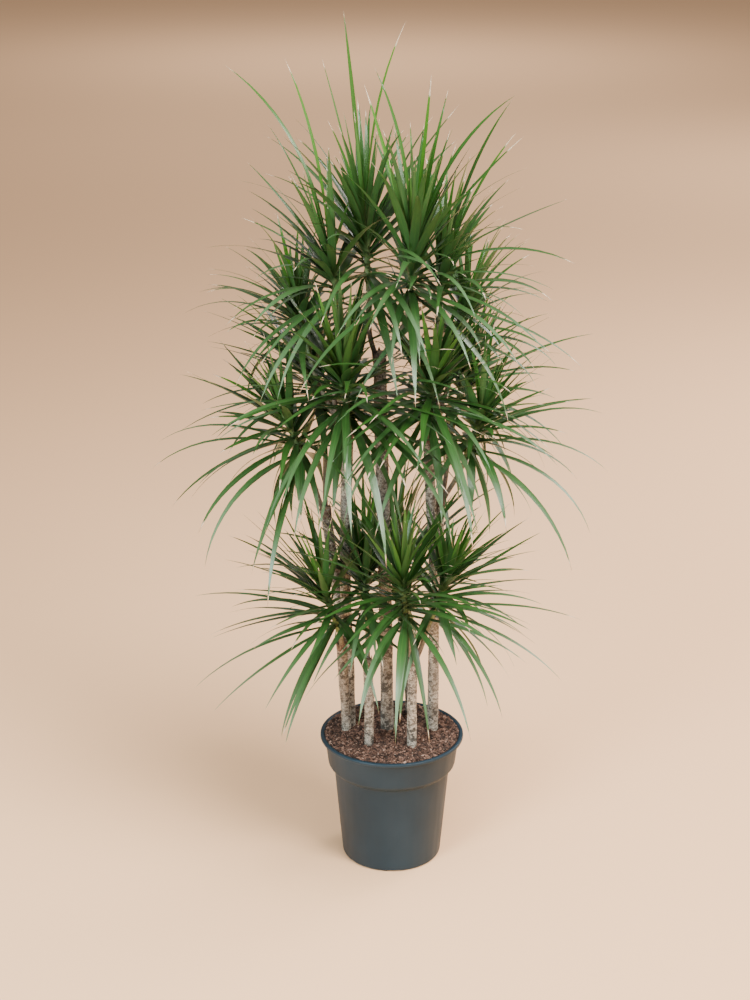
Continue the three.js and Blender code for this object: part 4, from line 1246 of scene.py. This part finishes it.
def leaf_mesh(head_name, found):
    """All blades of a head. Each is a ring of four points carried along its line: left margin, keel,
    right margin and face. The margins stand out by the half width and up by the fold of the channel,
    the keel and the face half the thickness below and above the line. A clasping foot of two more
    rings comes first, on the stem's surface below the blade, and the tip is one point. Returns the
    points, the faces and the numbers that each point keeps."""
    s = np.array(STATIONS)
    i = np.minimum((s * PATH_STEPS).astype(int), PATH_STEPS - 1)
    w = (s * PATH_STEPS - i)[None, :, None]

    def at(key):
        rows = np.stack([blade[key] for blade in found])
        return rows[:, i] * (1 - w) + rows[:, i + 1] * w

    def number(key):
        return np.array([blade[key] for blade in found])

    axis = head_axis(head_name)
    heading = np.radians(number("heading"))
    tangent = np.stack([-np.sin(heading), np.cos(heading), 0 * heading], axis=1)
    out = unit(np.cross(tangent, axis))
    tangent = np.cross(axis, out)
    height = number("height")
    foot_at = np.array(HEADS[head_name][0], float)
    feet = []
    for drop, lift in FOOT_RINGS:
        level = height - drop
        feet.append(foot_at + axis * level[:, None] + out * (stem_radius(level) + lift)[:, None])
    line = np.concatenate([np.stack(feet, axis=1), at("line")], axis=1)
    across = unit(np.concatenate([tangent[:, None], tangent[:, None], at("across")], axis=1))
    turning = unit(FOOT_FACING[0] * at("up")[:, :1] - FOOT_FACING[1] * out[:, None])
    up = np.concatenate([-out[:, None], turning, at("up")], axis=1)
    up = unit(up - across * (up * across).sum(-1, keepdims=True))

    along = np.concatenate([FOOT_STATIONS, s])
    fullness = BLADE_FULLNESS[HEADS[head_name][2]]
    half = 0.5 * fullness * number("width")[:, None] * leaf_share(along)[None]
    fold = np.radians(np.interp(along, *zip(*CHANNEL)))[None]
    thick = 0.5 * BLADE_THICKNESS * (1 - TIP_THINNING * along)[None]
    spread = (half * np.cos(fold))[..., None] * across
    raised = (half * np.sin(fold))[..., None] * up
    body = (thick + 0 * half)[..., None] * up
    margins = (line - spread + raised, line + spread + raised)
    rings = np.stack([margins[0], line - body, margins[1], line + body], axis=2)
    count, stations = rings.shape[:2]
    points = np.concatenate([rings[:, :-1].reshape(count, -1, 3), line[:, -1:]], axis=1)
    tip = 4 * (stations - 1)
    sides = ring_quads(stations - 1, 4)
    last = tip - 4 + np.arange(4)
    point = np.stack([last, tip - 4 + (np.arange(4) + 1) % 4, np.full(4, tip)], axis=1)
    offsets = (tip + 1) * np.arange(count)[:, None, None]
    faces = (sides[None] + offsets).reshape(-1, 4).tolist()
    faces += (point[None] + offsets).reshape(-1, 3).tolist()
    faces += (np.array([[3, 2, 1, 0]])[None] + offsets).reshape(-1, 4).tolist()
    by_length, by_heading = TINT_SPREAD
    tint = (by_length * number("length") + by_heading * number("heading")) % 1
    numbers = {
        "along": np.tile(np.append(np.repeat(along[:-1], 4), 1.0), count),
        "across": np.tile(np.append(np.tile([-1.0, 0, 1, 0], stations - 1), 0), count),
        "side": np.tile(np.append(np.tile([0.0, -1, 0, 1], stations - 1), 0), count),
        "age": np.repeat(number("age"), tip + 1),
        "tint": np.repeat(tint, tip + 1),
    }
    return points.reshape(-1, 3), faces, numbers


leaf, tree, shader = finish_of("leaf")
shader.inputs["Specular IOR Level"].default_value = 0.5
along, across, side = kept(tree, "along"), kept(tree, "across"), kept(tree, "side")
age, own_tint = kept(tree, "age"), kept(tree, "tint")
off_middle = worked(tree, "ABSOLUTE", across)
fibre = node(
    tree,
    "ShaderNodeCombineXYZ",
    X=worked(tree, "MULTIPLY", across, 7.0),
    Y=worked(tree, "MULTIPLY", along, 3.5),
    Z=worked(tree, "MULTIPLY", own_tint, 40.0),
).outputs["Vector"]
veins = clouds(tree, fibre, 1.0, 4.0)
aged = worked(tree, "ADD", age, worked(tree, "MULTIPLY", own_tint, 0.3))
green = ramp(tree, worked(tree, "SUBTRACT", aged, 0.1), FLESH)
green = blended(tree, eased(tree, veins, 0.4, 0.75, 0.0, 0.4), green, VEIN_GREEN)
green = blended(tree, eased(tree, off_middle, 0.16, 0.04, 0.0, 0.35), green, RIB_GREEN)
green = blended(tree, eased(tree, side, -0.02, -0.1, 0.0, 0.4), green, UNDER_GREEN)
# painted sheen: old blades turn paler and bluer towards their hanging ends, more on some than others
painted_sheen = worked(tree, "MULTIPLY", eased(tree, along, 0.4, 0.95), eased(tree, age, 0.5, 1.0))
painted_sheen = worked(tree, "MULTIPLY", painted_sheen, own_tint)
green = blended(tree, worked(tree, "MULTIPLY", painted_sheen, 0.75), green, PAINTED_SHEEN_GREEN)
green = blended(tree, eased(tree, off_middle, 0.88, 0.99, 0.0, 0.6), green, MARGIN_RED)
green = blended(tree, eased(tree, along, 0.07, 0.015, 0.0, 0.8), green, FOOT_GREEN)
dry_from = worked(tree, "ADD", DRY_FROM[0], worked(tree, "MULTIPLY", own_tint, DRY_FROM[1]))
dry = eased(tree, worked(tree, "SUBTRACT", along, dry_from), 0.0, 0.03)
plug(tree, shader.inputs["Base Color"], blended(tree, dry, green, DRY_TAN))
plug(tree, shader.inputs["Roughness"], eased(tree, veins, 0.3, 0.7, 0.28, 0.42))
bumped(tree, shader, veins, 0.25, 0.0004)

for head_name, found in blades.items():
    points, faces, numbers = leaf_mesh(head_name, found)
    run = np.linspace(*STEM_RUN, STEM_RINGS)
    line = np.array(HEADS[head_name][0], float) + head_axis(head_name) * run[:, None]
    radii = np.repeat(stem_radius(run)[:, None], SHOOT_SIDES, axis=1)
    stem = carried(line, radii, SHOOT_SIDES).reshape(-1, 3)
    faces += tube_faces(STEM_RINGS, SHOOT_SIDES, len(points))
    head = piece_of(f"leaves_{head_name}", np.concatenate([points, stem]) * MM, faces, leaf)
    for key in numbers:
        numbers[key] = np.append(numbers[key], np.full(len(stem), STEM_NUMBERS[key]))
        store(head, key, numbers[key])
    ends = np.empty(2 * len(head.data.edges), int)
    head.data.edges.foreach_get("vertices", ends)
    sides = numbers["across"][ends.reshape(-1, 2)]
    sharp = (np.abs(sides) == 1).all(axis=1) & (sides[:, 0] == sides[:, 1])  # along the margins
    head.data.edges.foreach_set("use_edge_sharp", sharp)
    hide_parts(f"head_{head_name}")
    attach(head, "root")
